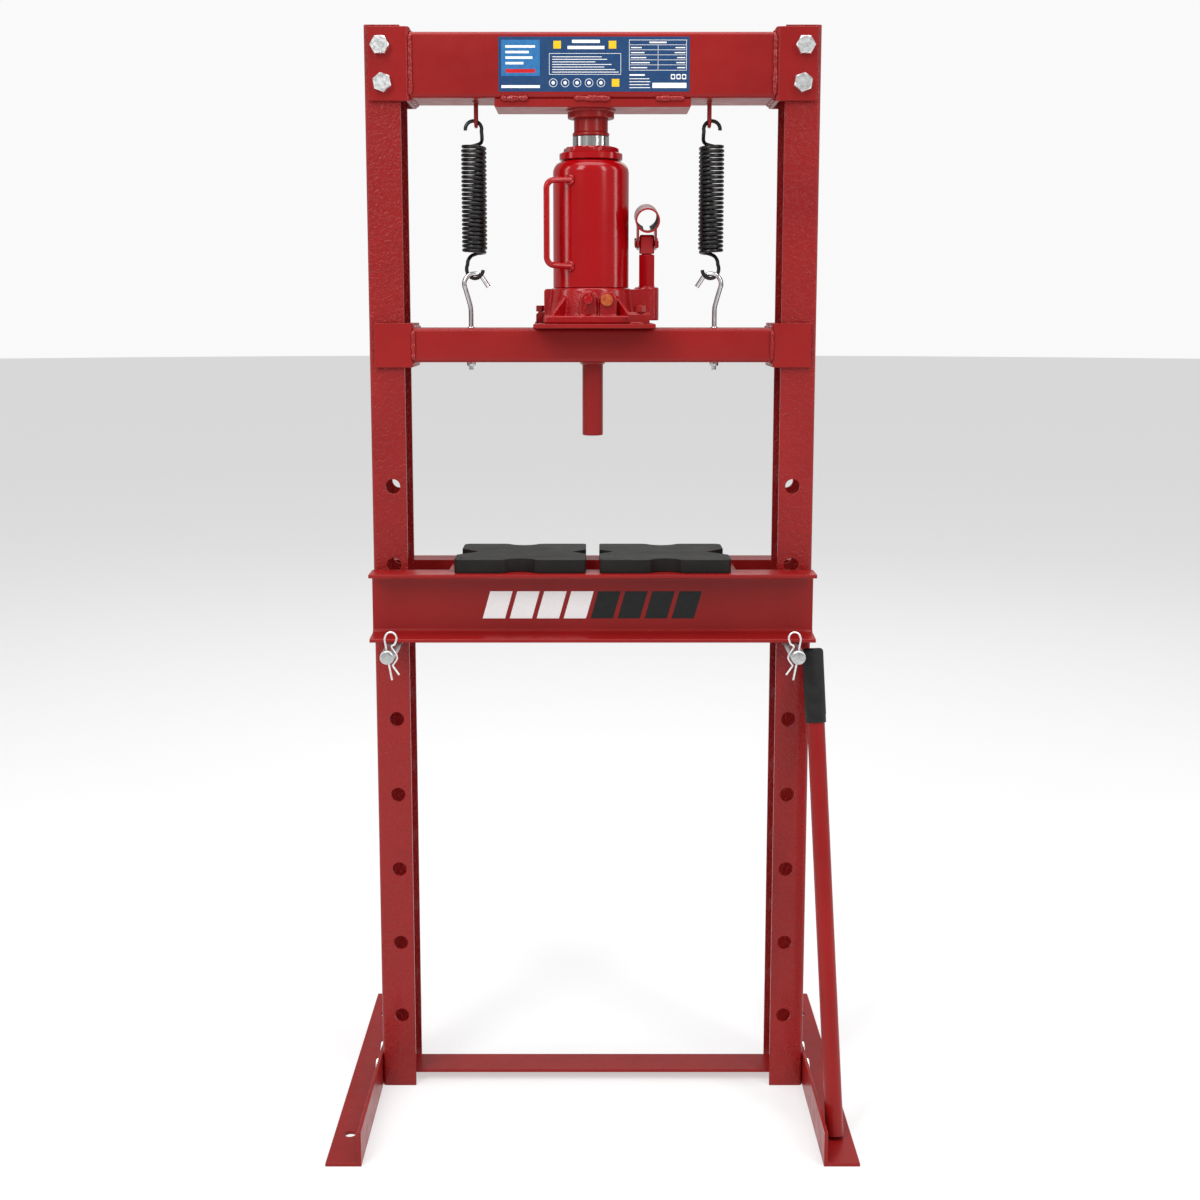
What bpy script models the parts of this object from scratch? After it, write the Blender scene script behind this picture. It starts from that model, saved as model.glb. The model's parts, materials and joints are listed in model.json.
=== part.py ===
"""Hydraulic shop press: an H-frame whose sliding crosshead is pushed down by a bottle jack and pulled up by springs.

Run it with blender --background --python part.py, or from Blender's text editor. Lengths are in metres,
written as millimetres times MM. +X is the operator's right, +Y points away from the operator and +Z is up.
The origin is on the floor, midway between the posts.
"""

import math

import bmesh
import bpy
from mathutils import Matrix, Vector

MM = 0.001
GAP = 0.3 * MM  # left between pieces that touch

# Frame
POST_HEIGHT = 1250 * MM
POST_INNER_X = 215 * MM
POST_OUTER_X = 255 * MM
POST_HALF_DEPTH = 35 * MM
POST_WALL = 4 * MM
HOLE_X = 231 * MM
HOLE_RADIUS = 8.5 * MM
HOLE_FIRST_Z = 90 * MM
HOLE_PITCH = 92 * MM
HOLE_COUNT = 8

FOOT_LEG = 40 * MM
FOOT_WALL = 4 * MM
FOOT_HALF_LENGTH = 225 * MM
FOOT_BOLT_Y = 23 * MM
FOOT_BOLT_Z = 21.5 * MM
FLOOR_HOLE_X = 277 * MM
FLOOR_HOLE_Y = 160 * MM
FLOOR_HOLE_RADIUS = 6.5 * MM
CROSSBAR_Z = (10 * MM, 14 * MM)
CROSSBAR_HALF_DEPTH = 21 * MM

BEAM_HALF_DEPTH = 38 * MM
BEAM_Z = (1170.4 * MM, 1242.4 * MM)
TOP_COLLAR_Z = (1167 * MM, 1247.5 * MM)
TOP_COLLAR_X = (204 * MM, 250 * MM)
COLLAR_WALL = 5 * MM
TOP_BOLTS = {"upper": (236 * MM, 1227 * MM, 0), "lower": (234 * MM, 1186.5 * MM, 20)}  # x, z, turn in degrees
PAD_HALF_LENGTH = 110 * MM
PAD_THICKNESS = 9.4 * MM
CUP_RADIUS = 26.5 * MM
CUP_BORE = 20.4 * MM
CUP_HEIGHT = 9 * MM

# Crosshead, its return springs and their hooks
SLIDE_BEAM_Z = (876.6 * MM, 915.6 * MM)
SLIDE_COLLAR_Z = (871 * MM, 921 * MM)
SLIDE_COLLAR_X = (205 * MM, 248.5 * MM)
SLIDE_CLEARANCE = 1 * MM
BEAM_WALL = 4 * MM
PUNCH_RADIUS = 12 * MM
PUNCH_BOTTOM_Z = 791 * MM
SEAT_X = (-66 * MM, 70 * MM)
SEAT_Y = (-86 * MM, 66 * MM)
SEAT_THICKNESS = 4.8 * MM
SPRING_X = 136 * MM
SPRING_RADIUS = 12.5 * MM
SPRING_WIRE = 1.85 * MM
SPRING_TURNS = 25
SPRING_COIL_Z = (1001.8 * MM, 1121.2 * MM)
UPPER_LOOP_Z = 1140 * MM
UPPER_LOOP_RADIUS = 9.2 * MM
LOWER_LOOP_Z = 982.7 * MM
LOWER_LOOP_RADIUS = 10.8 * MM
LOWER_LOOP_TURN = 35  # degrees about the spring's axis
EYE_X = 133 * MM
EYE_WIRE = 2 * MM
EYE_BEND = 8 * MM
EYE_BOTTOM_Z = 1143 * MM
HOOK_X = 141 * MM
HOOK_WIRE = 2.8 * MM
HOOK_TURN = 15  # degrees about the shank
HOOK_CURL_Z = 965.4 * MM
HOOK_CURL_RADIUS = 12 * MM

# Bottle jack
JACK_X = -2 * MM
JACK_BOTTOM_Z = 921 * MM
JACK_FOOT_X = (-55 * MM, 64 * MM)
JACK_FOOT_HALF_DEPTH = 63 * MM
JACK_FOOT_THICKNESS = 8.5 * MM
JACK_RIM_Z = 960.7 * MM
JACK_RIM_RADIUS = 45.6 * MM
TANK_RADIUS = 43.4 * MM
TANK_WALL = 3 * MM
TANK_TOP_Z = 1105 * MM
TANK_SHOULDER = 14 * MM
TANK_MOUTH = 27 * MM
CYLINDER_RADIUS = 25.5 * MM
RAM_RADIUS = 20.8 * MM
RAM_CLEARANCE = 0.4 * MM
RAM_BOTTOM_Z = 964 * MM
RAM_TOP_Z = 1131.6 * MM
NUT_FLANGE_RADIUS = 36 * MM
NUT_FLANGE_HEIGHT = 8 * MM
NUT_FLATS = 57 * MM
NUT_TOP_Z = 1119.6 * MM
VALVE_X = -5 * MM
VALVE_Z = 947 * MM
PLUG_X = 16 * MM
PAD_FRONT_Y = -52 * MM

# Jack pump
PUMP_X = 62.3 * MM
PUMP_BOSS_RADIUS = 14 * MM
PUMP_BOSS_TOP_Z = 962 * MM
BARREL_FLATS = 17.4 * MM
BARREL_TOP_Z = 999 * MM
PLUNGER_RADIUS = 6 * MM
LEVER_PIN_Z = 1011 * MM
LINK_Y = 22 * MM
LINK_TOP_Z = 1014 * MM
LINK_FOOT_Z = 953 * MM
SOCKET_RADIUS = 13.9 * MM
SOCKET_WALL = 2 * MM
SOCKET_Y = (-35 * MM, 28 * MM)
SOCKET_TILT = 7.5  # degrees, front end low
SOCKET_FRONT_Z = 1036 * MM
EAR_OFFSET = 9.1 * MM
EAR_WALL = 2.2 * MM

# Bed, its pins and the arbor plates
BED_Z = (558.1 * MM, 637.1 * MM)
BED_HALF_LENGTH = 256 * MM
BED_WEB_Y = (37 * MM, 42 * MM)
BED_FLANGE_Y = 74.5 * MM
BED_FLANGE = 5 * MM
SPACER_X = 165 * MM
PIN_RADIUS = 8 * MM
PIN_Z = 549.8 * MM
PIN_Y = (-118 * MM, 95 * MM)
CLIP_Y = -109 * MM
CLIP_WIRE = 1.1 * MM
PLATE_X = (8 * MM, 159 * MM)
PLATE_HALF_DEPTH = 65 * MM
PLATE_THICKNESS = 15.5 * MM

# Loose pump handle, leaning on the right post
HANDLE_FOOT = Vector((275.4, -167, 6.6)) * MM
HANDLE_TOP = Vector((255.5, -50.5, 547)) * MM
HANDLE_RADIUS = 10.2 * MM
HANDLE_BORE = 8 * MM
GRIP_RADIUS = 12.2 * MM
GRIP_LENGTH = 86 * MM

ALONG_X = Matrix(((0, 0, 1, 0), (1, 0, 0, 0), (0, 1, 0, 0), (0, 0, 0, 1)))
ALONG_Y = Matrix(((1, 0, 0, 0), (0, 0, 1, 0), (0, 1, 0, 0), (0, 0, 0, 1)))
ALONG_Z = Matrix.Identity(4)
SIDES = {"left": -1, "right": 1}


# ---------------------------------------------------------------- tools


def clear_scene():
    for obj in list(bpy.data.objects):
        bpy.data.objects.remove(obj)


def paint(name, colour, roughness, metallic=0.0):
    material = bpy.data.materials.new(name)
    material.use_nodes = True
    shader = material.node_tree.nodes["Principled BSDF"]
    shader.inputs["Base Color"].default_value = (*colour, 1)
    shader.inputs["Roughness"].default_value = roughness
    shader.inputs["Metallic"].default_value = metallic
    material.diffuse_color = (*colour, 1)
    return material


def finished(name, mesh_data, material):
    """Turns a bmesh into a named object, with round faces smooth and its own material."""
    bmesh.ops.recalc_face_normals(mesh_data, faces=mesh_data.faces)
    mesh = bpy.data.meshes.new(name)
    mesh_data.to_mesh(mesh)
    mesh_data.free()
    mesh.materials.append(material)
    mesh.shade_smooth()
    mesh.set_sharp_from_angle(angle=math.radians(32))
    obj = bpy.data.objects.new(name, mesh)
    bpy.context.scene.collection.objects.link(obj)
    return obj


def add_loft(mesh_data, rings, closed=False):
    """Skins neighbouring rings of equal length. It caps the ends, or joins last to first when closed."""
    loops = [[mesh_data.verts.new(point) for point in ring] for ring in rings]
    pairs = list(zip(loops, loops[1:]))
    if closed:
        pairs.append((loops[-1], loops[0]))
    else:
        mesh_data.faces.new(loops[0])
        mesh_data.faces.new(loops[-1])
    for lower, upper in pairs:
        for i in range(len(lower)):
            mesh_data.faces.new((lower[i - 1], lower[i], upper[i], upper[i - 1]))


def loft(name, rings, material, closed=False):
    mesh_data = bmesh.new()
    add_loft(mesh_data, rings, closed)
    return finished(name, mesh_data, material)


def stack(frame, levels):
    """Rings from (height, outline) levels, which stand along the frame's local Z."""
    return [[frame @ Vector((a, b, height)) for a, b in outline] for height, outline in levels]


def circle(radius, sides=24):
    turns = [2 * math.pi * i / sides for i in range(sides)]
    return [(radius * math.cos(turn), radius * math.sin(turn)) for turn in turns]


def hexagon(flats, turn=0, sides=12):
    """A hexagon with as many points as a circle of `sides`, so the two can be skinned together."""
    points = []
    for i in range(sides):
        angle = 360 * i / sides
        reach = flats / 2 / math.cos(math.radians((angle + 30) % 60 - 30))
        points.append((reach * math.cos(math.radians(angle + turn)), reach * math.sin(math.radians(angle + turn))))
    return points


def arc(centre, radius, start, end, steps):
    """Points on a circle from one angle to another, in degrees."""
    turns = [math.radians(start + (end - start) * i / steps) for i in range(steps + 1)]
    return [(centre[0] + radius * math.cos(t), centre[1] + radius * math.sin(t)) for t in turns]


def rounded_rectangle(low, high, radius, steps=2):
    corners = ((high[0], high[1], 0), (low[0], high[1], 90), (low[0], low[1], 180), (high[0], low[1], 270))
    points = []
    for x, y, start in corners:
        inward = (-1 if x == high[0] else 1, -1 if y == high[1] else 1)
        centre = (x + inward[0] * radius, y + inward[1] * radius)
        points += arc(centre, radius, start, start + 90, steps)
    return points


def mirrored(outline, side):
    return [(side * a, b) for a, b in outline]


def box(name, low, high, material):
    outline = [(low[0], low[1]), (high[0], low[1]), (high[0], high[1]), (low[0], high[1])]
    return loft(name, stack(ALONG_Z, [(low[2], outline), (high[2], outline)]), material)


def side_box(name, side, low, high, material):
    """A box given for the right-hand side and mirrored for the left."""
    x = sorted((side * low[0], side * high[0]))
    return box(name, (x[0], *low[1:]), (x[1], *high[1:]), material)


def bar(name, frame, outline, start, end, material):
    return loft(name, stack(frame, [(start, outline), (end, outline)]), material)


def turned(name, frame, profile, material, sides=24):
    """A solid of revolution from (radius, height) points along the frame's local Z."""
    return loft(name, stack(frame, [(z, circle(r, sides)) for r, z in profile]), material)


def turned_shell(name, frame, profile, material, sides=24):
    """A hollow of revolution: its profile is a closed loop round the wall."""
    return loft(name, stack(frame, [(z, circle(r, sides)) for r, z in profile]), material, closed=True)


def tube_bar(name, frame, outer, inner, start, end, material):
    levels = [(start, outer), (end, outer), (end, inner), (start, inner)]
    return loft(name, stack(frame, levels), material, closed=True)


def sweep_rings(path, radius, sides):
    """Circles square to a path, each frame turned as little as it can be from the one before."""
    path = [Vector(point) for point in path]
    tangents = []
    for i in range(len(path)):
        before, after = path[max(i - 1, 0)], path[min(i + 1, len(path) - 1)]
        tangents.append((after - before).normalized())
    across = tangents[0].orthogonal().normalized()
    rings = []
    for i, point in enumerate(path):
        if i:
            across = tangents[i - 1].rotation_difference(tangents[i]) @ across
        other = tangents[i].cross(across)
        rings.append([point + across * a + other * b for a, b in circle(radius, sides)])
    return rings


def rod(name, path, radius, material, sides=10):
    return loft(name, sweep_rings(path, radius, sides), material)


def as_helper(obj):
    obj.hide_render = True
    obj.display_type = "WIRE"
    return obj


def combine(target, helpers, operation):
    for helper in helpers:
        modifier = target.modifiers.new(operation.lower(), "BOOLEAN")
        modifier.operation = operation
        modifier.solver = "EXACT"
        modifier.object = as_helper(helper)
    return target


def cut(target, *helpers):
    return combine(target, helpers, "DIFFERENCE")


def fuse(target, *helpers):
    return combine(target, helpers, "UNION")


def drill(target, frame, centres, radius, start, end, sides=16):
    """Cuts a row of parallel holes with one helper. Centres are in the frame's local XY."""
    mesh_data = bmesh.new()
    for x, y in centres:
        outline = [(x + a, y + b) for a, b in circle(radius, sides)]
        add_loft(mesh_data, stack(frame, [(start, outline), (end, outline)]))
    material = target.data.materials[0]
    return cut(target, finished(target.name + "_drill", mesh_data, material))


def pivot(name, location, *members):
    """An empty on a joint's axis, with its moving pieces as children that keep their places."""
    empty = bpy.data.objects.new(name, None)
    empty.empty_display_size = 20 * MM
    empty.location = location
    bpy.context.scene.collection.objects.link(empty)
    for member in members:
        member.parent = empty
        member.matrix_parent_inverse = Matrix.Translation(-Vector(location))
    return empty


# ---------------------------------------------------------------- frame


def post(name, side, red):
    """A folded channel, open towards the press's middle."""
    corner = 4 * MM
    depth, inside = POST_HALF_DEPTH, POST_HALF_DEPTH - POST_WALL
    outline = [(POST_INNER_X, -depth)]
    outline += arc((POST_OUTER_X - corner, -depth + corner), corner, -90, 0, 3)
    outline += arc((POST_OUTER_X - corner, depth - corner), corner, 0, 90, 3)
    outline += [(POST_INNER_X, depth), (POST_INNER_X, inside), (POST_OUTER_X - POST_WALL, inside)]
    outline += [(POST_OUTER_X - POST_WALL, -inside), (POST_INNER_X, -inside)]
    channel = bar(name, ALONG_Z, mirrored(outline, side), 0, POST_HEIGHT, red)
    holes = [(side * HOLE_X, HOLE_FIRST_Z + HOLE_PITCH * i) for i in range(HOLE_COUNT)]
    drill(channel, ALONG_Y, holes, HOLE_RADIUS, -50 * MM, 50 * MM)
    bolts = [(side * x, z) for x, z, _ in TOP_BOLTS.values()]
    drill(channel, ALONG_Y, bolts, 6.5 * MM, -50 * MM, 50 * MM, 12)
    across = sorted((side * 245 * MM, side * 262 * MM))
    foot_bolts = [(y, FOOT_BOLT_Z) for y in (-FOOT_BOLT_Y, FOOT_BOLT_Y)]
    return drill(channel, ALONG_X, foot_bolts, 4.5 * MM, *across, 12)


def foot(name, side, red):
    """An angle bar along the floor, its upright leg flat on the post's outer face."""
    start = POST_OUTER_X + GAP
    outline = [(start, 0), (start + FOOT_LEG, 0), (start + FOOT_LEG, FOOT_WALL)]
    outline += [(start + FOOT_WALL, FOOT_WALL), (start + FOOT_WALL, FOOT_LEG), (start, FOOT_LEG)]
    angle = bar(name, ALONG_Y, mirrored(outline, side), -FOOT_HALF_LENGTH, FOOT_HALF_LENGTH, red)
    floor_holes = [(side * FLOOR_HOLE_X, y) for y in (-FLOOR_HOLE_Y, FLOOR_HOLE_Y)]
    drill(angle, ALONG_Z, floor_holes, FLOOR_HOLE_RADIUS, -5 * MM, 10 * MM, 12)
    across = sorted((side * 250 * MM, side * 262 * MM))
    foot_bolts = [(y, FOOT_BOLT_Z) for y in (-FOOT_BOLT_Y, FOOT_BOLT_Y)]
    return drill(angle, ALONG_X, foot_bolts, 4.5 * MM, *across, 12)


def through_bolt(name, frame, head, grip, nut, flats, radius, turn, zinc):
    """A hex bolt with its nut tightened on. It runs from head to nut along the frame's local Z."""
    hexes, shank = hexagon(flats, turn), circle(radius, 12)
    tip = nut + radius * 1.6
    flange = 0.5 * flats * 0.93
    levels = [(-head, circle(flange, 12)), (-head + 0.08 * flats, hexes), (0, hexes), (0, shank)]
    levels += [(grip, shank), (grip, hexes), (grip + nut, hexes), (grip + nut, shank), (grip + tip, shank)]
    return loft(name, stack(frame, levels), zinc)


def top_bolt(name, side, height, zinc):
    x, z, turn = TOP_BOLTS[height]
    face = POST_HALF_DEPTH + GAP + COLLAR_WALL + GAP
    frame = Matrix.Translation((side * x, -face, z)) @ ALONG_Y
    return through_bolt(name, frame, 7.5 * MM, 2 * face, 10 * MM, 19 * MM, 6 * MM, 30 + side * turn, zinc)


def foot_bolt(name, side, end, zinc):
    """Its head is outside the foot and its nut is inside the post's channel."""
    outside = POST_OUTER_X + GAP + FOOT_WALL + GAP
    inwards = Matrix.Diagonal((1, 1, -side, 1))
    frame = Matrix.Translation((side * outside, end * FOOT_BOLT_Y, FOOT_BOLT_Z)) @ ALONG_X @ inwards
    grip = outside - (POST_OUTER_X - POST_WALL) + GAP
    return through_bolt(name, frame, 5.3 * MM, grip, 6 * MM, 13 * MM, 4 * MM, 0, zinc)


def collar(name, side, x, z, half_width, red):
    """A U-shaped strap: its web faces the press's middle and its legs wrap the post."""
    corner, outside, inside = 5 * MM, half_width + COLLAR_WALL, half_width
    outline = [(x[1], -outside)]
    outline += list(reversed(arc((x[0] + corner, -outside + corner), corner, 180, 270, 3)))
    outline += list(reversed(arc((x[0] + corner, outside - corner), corner, 90, 180, 3)))
    outline += [(x[1], outside), (x[1], inside), (x[0] + COLLAR_WALL, inside)]
    outline += [(x[0] + COLLAR_WALL, -inside), (x[1], -inside)]
    return bar(name, ALONG_Z, mirrored(outline, side), *z, red)


def top_collar(name, side, red):
    strap = collar(name, side, TOP_COLLAR_X, TOP_COLLAR_Z, POST_HALF_DEPTH + GAP, red)
    bolts = [(side * x, z) for x, z, _ in TOP_BOLTS.values()]
    return drill(strap, ALONG_Y, bolts, 6.5 * MM, -50 * MM, 50 * MM, 12)


def beam(name, half_length, z, red):
    """A rectangular tube along X."""
    outer = rounded_rectangle((-BEAM_HALF_DEPTH, z[0]), (BEAM_HALF_DEPTH, z[1]), 5 * MM)
    low = (-BEAM_HALF_DEPTH + BEAM_WALL, z[0] + BEAM_WALL)
    high = (BEAM_HALF_DEPTH - BEAM_WALL, z[1] - BEAM_WALL)
    inner = rounded_rectangle(low, high, 1.5 * MM)
    return tube_bar(name, ALONG_X, outer, inner, -half_length, half_length, red)


def spring_eye(name, side, red):
    """A U of round bar welded under the top beam."""
    top, centre = BEAM_Z[0] - GAP, EYE_BOTTOM_Z + EYE_BEND
    bend = arc((0, centre), EYE_BEND, 180, 360, 8)
    path = [(-EYE_BEND, top)] + bend + [(EYE_BEND, top)]
    return rod(name, [(side * EYE_X, y, z) for y, z in path], EYE_WIRE, red, 8)


def build_frame(red, zinc):
    for label, side in SIDES.items():
        post(label + "_post", side, red)
        foot(label + "_foot", side, red)
        top_collar(label + "_top_collar", side, red)
        spring_eye(label + "_spring_eye", side, red)
        for height in TOP_BOLTS:
            top_bolt(f"{label}_{height}_top_bolt", side, height, zinc)
        for place, end in (("front", -1), ("rear", 1)):
            foot_bolt(f"{label}_{place}_foot_bolt", side, end, zinc)
    reach = POST_OUTER_X - POST_WALL - GAP
    low = (-reach, -CROSSBAR_HALF_DEPTH, CROSSBAR_Z[0])
    box("lower_crossbar", low, (reach, CROSSBAR_HALF_DEPTH, CROSSBAR_Z[1]), red)
    beam("top_beam", TOP_COLLAR_X[0] - GAP, BEAM_Z, red)
    pad_top = BEAM_Z[0] - GAP
    pad_bottom = pad_top - PAD_THICKNESS
    low = (-PAD_HALF_LENGTH, -36 * MM, pad_bottom)
    box("ram_pad_plate", low, (PAD_HALF_LENGTH, 36 * MM, pad_top), red)
    cup_top = pad_bottom - GAP
    profile = [(CUP_BORE, cup_top - CUP_HEIGHT), (CUP_RADIUS, cup_top - CUP_HEIGHT)]
    profile += [(CUP_RADIUS, cup_top), (CUP_BORE, cup_top)]
    turned_shell("ram_cup", Matrix.Translation((JACK_X, 0, 0)), profile, red, 32)


# ---------------------------------------------------------------- springs


def spring_path(side, steps_per_turn):
    """One end hook, the close coils and the other hook, as a line of points."""
    low, high = SPRING_COIL_Z
    twist = math.radians(LOWER_LOOP_TURN)
    path = []
    for a, b in reversed(arc((0, LOWER_LOOP_Z), LOWER_LOOP_RADIUS, 30, -175, steps_per_turn)):
        path.append((a * math.cos(twist), a * math.sin(twist), b))
    path.append((0.3 * SPRING_RADIUS, 0, low - 6 * MM))
    count = SPRING_TURNS * steps_per_turn
    for i in range(count + 1):
        turn = math.pi + 2 * math.pi * i / steps_per_turn
        z = low + (high - low) * i / count
        path.append((SPRING_RADIUS * math.cos(turn), SPRING_RADIUS * math.sin(turn), z))
    path.append((-0.6 * SPRING_RADIUS, -0.3 * SPRING_RADIUS, high + 5.5 * MM))
    for a, b in arc((0, UPPER_LOOP_Z), UPPER_LOOP_RADIUS, 215, -40, steps_per_turn):
        path.append((a, 0, b))
    return [(side * (SPRING_X + a), b, z) for a, b, z in path]


def build_springs(black):
    for label, side in SIDES.items():
        rod(label + "_return_spring", spring_path(side, 6), SPRING_WIRE, black, 4)


# ---------------------------------------------------------------- crosshead


def spring_hook(name, side, chrome):
    """A threaded hook: its shank passes down through the crosshead to a nut below."""
    turn = math.radians(HOOK_TURN)
    nut_top = SLIDE_BEAM_Z[0] - GAP
    path = [(0, nut_top - 9 * MM), (0, 900 * MM), (0, 936 * MM), (0.8 * MM, 941 * MM)]
    path += arc((-4.5 * MM, HOOK_CURL_Z), HOOK_CURL_RADIUS, -25, 150, 10)
    path.append((-21 * MM, HOOK_CURL_Z - 3 * MM))
    centres = [(side * (HOOK_X + p * math.cos(turn)), -p * math.sin(turn), z) for p, z in path]
    hook = rod(name, centres, HOOK_WIRE, chrome, 8)
    frame = Matrix.Translation((side * HOOK_X, 0, nut_top - 5 * MM))
    return fuse(hook, bar(name + "_nut", frame, hexagon(10 * MM), 0, 5 * MM, chrome))


def slide_beam(red):
    tube = beam("crosshead_beam", SLIDE_COLLAR_X[0] - GAP, SLIDE_BEAM_Z, red)
    holes = [(side * HOOK_X, 0) for side in SIDES.values()]
    return drill(tube, ALONG_Z, holes, 3.3 * MM, SLIDE_BEAM_Z[0] - 5 * MM, SLIDE_BEAM_Z[1] + 5 * MM, 10)


def clamp(name, along, foot_edge, out, reach, bolt, red):
    """A stepped clamp on the seat plate, whose tongue holds down the jack's foot.

    It is `reach` long beside the foot's edge. `out` is the sign of the way from that edge off the foot.
    """
    seat = JACK_BOTTOM_Z
    tongue = seat + JACK_FOOT_THICKNESS + GAP
    outline = [(GAP, seat), (11 * MM, seat), (11 * MM, tongue + 1 * MM), (8 * MM, tongue + 4 * MM)]
    outline += [(-3.5 * MM, tongue + 4 * MM), (-3.5 * MM, tongue), (GAP, tongue)]
    points = [(foot_edge + out * a, z) for a, z in outline]
    piece = bar(name, along, points, *reach, red)
    return drill(piece, ALONG_Z, [bolt], 3.3 * MM, seat - 2 * MM, tongue + 9 * MM, 10)


def clamp_bolt(name, place, red):
    top = JACK_BOTTOM_Z + JACK_FOOT_THICKNESS + 4 * MM + 2 * GAP
    frame = Matrix.Translation((*place, top))
    hexes, shank = hexagon(10 * MM), circle(3 * MM, 12)
    bottom = JACK_BOTTOM_Z + GAP - top
    levels = [(bottom, shank), (0, shank), (0, hexes), (6 * MM, hexes), (7 * MM, circle(4.6 * MM, 12))]
    return loft(name, stack(frame, levels), red)


def jack_clamps(red):
    """One clamp is on the foot's left edge and one is at the right end of its front edge."""
    left, front = JACK_FOOT_X[0], -JACK_FOOT_HALF_DEPTH
    left_bolt, front_bolt = (left - 6 * MM, 24 * MM), (54 * MM, front - 6 * MM)
    return [
        clamp("left_jack_clamp", ALONG_Y, left, -1, (12 * MM, 36 * MM), left_bolt, red),
        clamp_bolt("left_clamp_bolt", left_bolt, red),
        clamp("right_jack_clamp", ALONG_X, front, -1, (39.5 * MM, 63.5 * MM), front_bolt, red),
        clamp_bolt("right_clamp_bolt", front_bolt, red),
    ]


def build_crosshead(red, chrome):
    pieces = [slide_beam(red)]
    for label, side in SIDES.items():
        half_width = POST_HALF_DEPTH + SLIDE_CLEARANCE
        pieces.append(collar(label + "_slide_collar", side, SLIDE_COLLAR_X, SLIDE_COLLAR_Z, half_width, red))
        pieces.append(spring_hook(label + "_spring_hook", side, chrome))
    seat_bottom = SLIDE_BEAM_Z[1] + GAP
    low, high = (SEAT_X[0], SEAT_Y[0], seat_bottom), (SEAT_X[1], SEAT_Y[1], seat_bottom + SEAT_THICKNESS)
    pieces.append(box("jack_seat_plate", low, high, red))
    punch_top = SLIDE_BEAM_Z[0] - GAP
    chamfer = 1 * MM
    profile = [(PUNCH_RADIUS - chamfer, PUNCH_BOTTOM_Z), (PUNCH_RADIUS, PUNCH_BOTTOM_Z + chamfer)]
    profile.append((PUNCH_RADIUS, punch_top))
    pieces.append(turned("press_punch", ALONG_Z, profile, red))
    pieces += jack_clamps(red)
    return pieces


# ---------------------------------------------------------------- bottle jack


def gusset(name, angle, red):
    """A corner rib from the jack's foot up to its round body."""
    foot_top = JACK_BOTTOM_Z + JACK_FOOT_THICKNESS - 1 * MM
    outline = [(38 * MM, foot_top), (71 * MM, foot_top), (71 * MM, foot_top + 2 * MM)]
    outline += [(49 * MM, 950 * MM), (38 * MM, 950 * MM)]
    turn = Matrix.Rotation(math.radians(angle), 4, "Z")
    frame = Matrix.Translation((JACK_X, 0, 0)) @ turn @ ALONG_Y
    return bar(name, frame, outline, -2 * MM, 2 * MM, red)


def arch_pad(name, x, red):
    """A flat-faced boss with a round top, for a valve or a plug."""
    outline = [(x + 9.5 * MM, 925 * MM)] + arc((x, VALVE_Z), 9.5 * MM, 0, 180, 8) + [(x - 9.5 * MM, 925 * MM)]
    return bar(name, ALONG_Y, outline, PAD_FRONT_Y, -30 * MM, red)


def jack_base(red):
    """The casting: foot, round body, pump boss with its link lugs, corner ribs and two front bosses."""
    bottom, foot_top = JACK_BOTTOM_Z, JACK_BOTTOM_Z + JACK_FOOT_THICKNESS
    low, high = (JACK_FOOT_X[0], -JACK_FOOT_HALF_DEPTH), (JACK_FOOT_X[1], JACK_FOOT_HALF_DEPTH)
    base = bar("jack_base", ALONG_Z, rounded_rectangle(low, high, 5 * MM), bottom, foot_top, red)
    body = Matrix.Translation((JACK_X, 0, 0))
    profile = [(50 * MM, bottom + 1 * MM), (48 * MM, 940 * MM), (46 * MM, 957 * MM)]
    profile += [(JACK_RIM_RADIUS, JACK_RIM_Z - 1 * MM), (JACK_RIM_RADIUS - 1 * MM, JACK_RIM_Z)]
    parts = [turned("jack_body", body, profile, red, 40)]
    parts += [gusset(f"gusset_{angle}", angle, red) for angle in (-128, -52, 52, 128)]
    parts += [arch_pad("valve_boss", VALVE_X, red), arch_pad("plug_boss", PLUG_X + 1.5 * MM, red)]
    boss = Matrix.Translation((PUMP_X, 0, 0))
    profile = [(PUMP_BOSS_RADIUS, bottom + 3 * MM), (PUMP_BOSS_RADIUS, PUMP_BOSS_TOP_Z - 1 * MM)]
    profile.append((PUMP_BOSS_RADIUS - 1 * MM, PUMP_BOSS_TOP_Z))
    parts.append(turned("pump_boss", boss, profile, red))
    neck = [(36 * MM, 927 * MM), (PUMP_X, 927 * MM), (PUMP_X, 957 * MM), (36 * MM, 957 * MM)]
    parts.append(bar("pump_neck", ALONG_Y, neck, -13 * MM, 13 * MM, red))
    parts.append(box("left_lug", (-56 * MM, -9 * MM, 925 * MM), (-40 * MM, 9 * MM, 957 * MM), red))
    for place, offset in (("inner", -7.2 * MM), ("outer", 3 * MM)):
        lug = [(0, 944 * MM), (LINK_Y, 944 * MM)] + arc((LINK_Y, LINK_FOOT_Z), 7 * MM, -40, 90, 6)
        lug.append((0, LINK_FOOT_Z + 7 * MM))
        start = PUMP_X + offset
        parts.append(bar(f"link_lug_{place}", ALONG_X, lug, start, start + 4.2 * MM, red))
    fuse(base, *parts)
    drill(base, ALONG_Y, [(VALVE_X, VALVE_Z), (PLUG_X, VALVE_Z)], 4.3 * MM, -60 * MM, -38 * MM, 12)
    link_hole = [(LINK_Y, LINK_FOOT_Z)]
    drill(base, ALONG_X, link_hole, 3.35 * MM, PUMP_X - 12 * MM, PUMP_X + 12 * MM, 12)
    well = [(PUMP_X, 0)]
    return drill(base, ALONG_Z, well, PLUNGER_RADIUS + 0.4 * MM, 935 * MM, 970 * MM)


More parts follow.
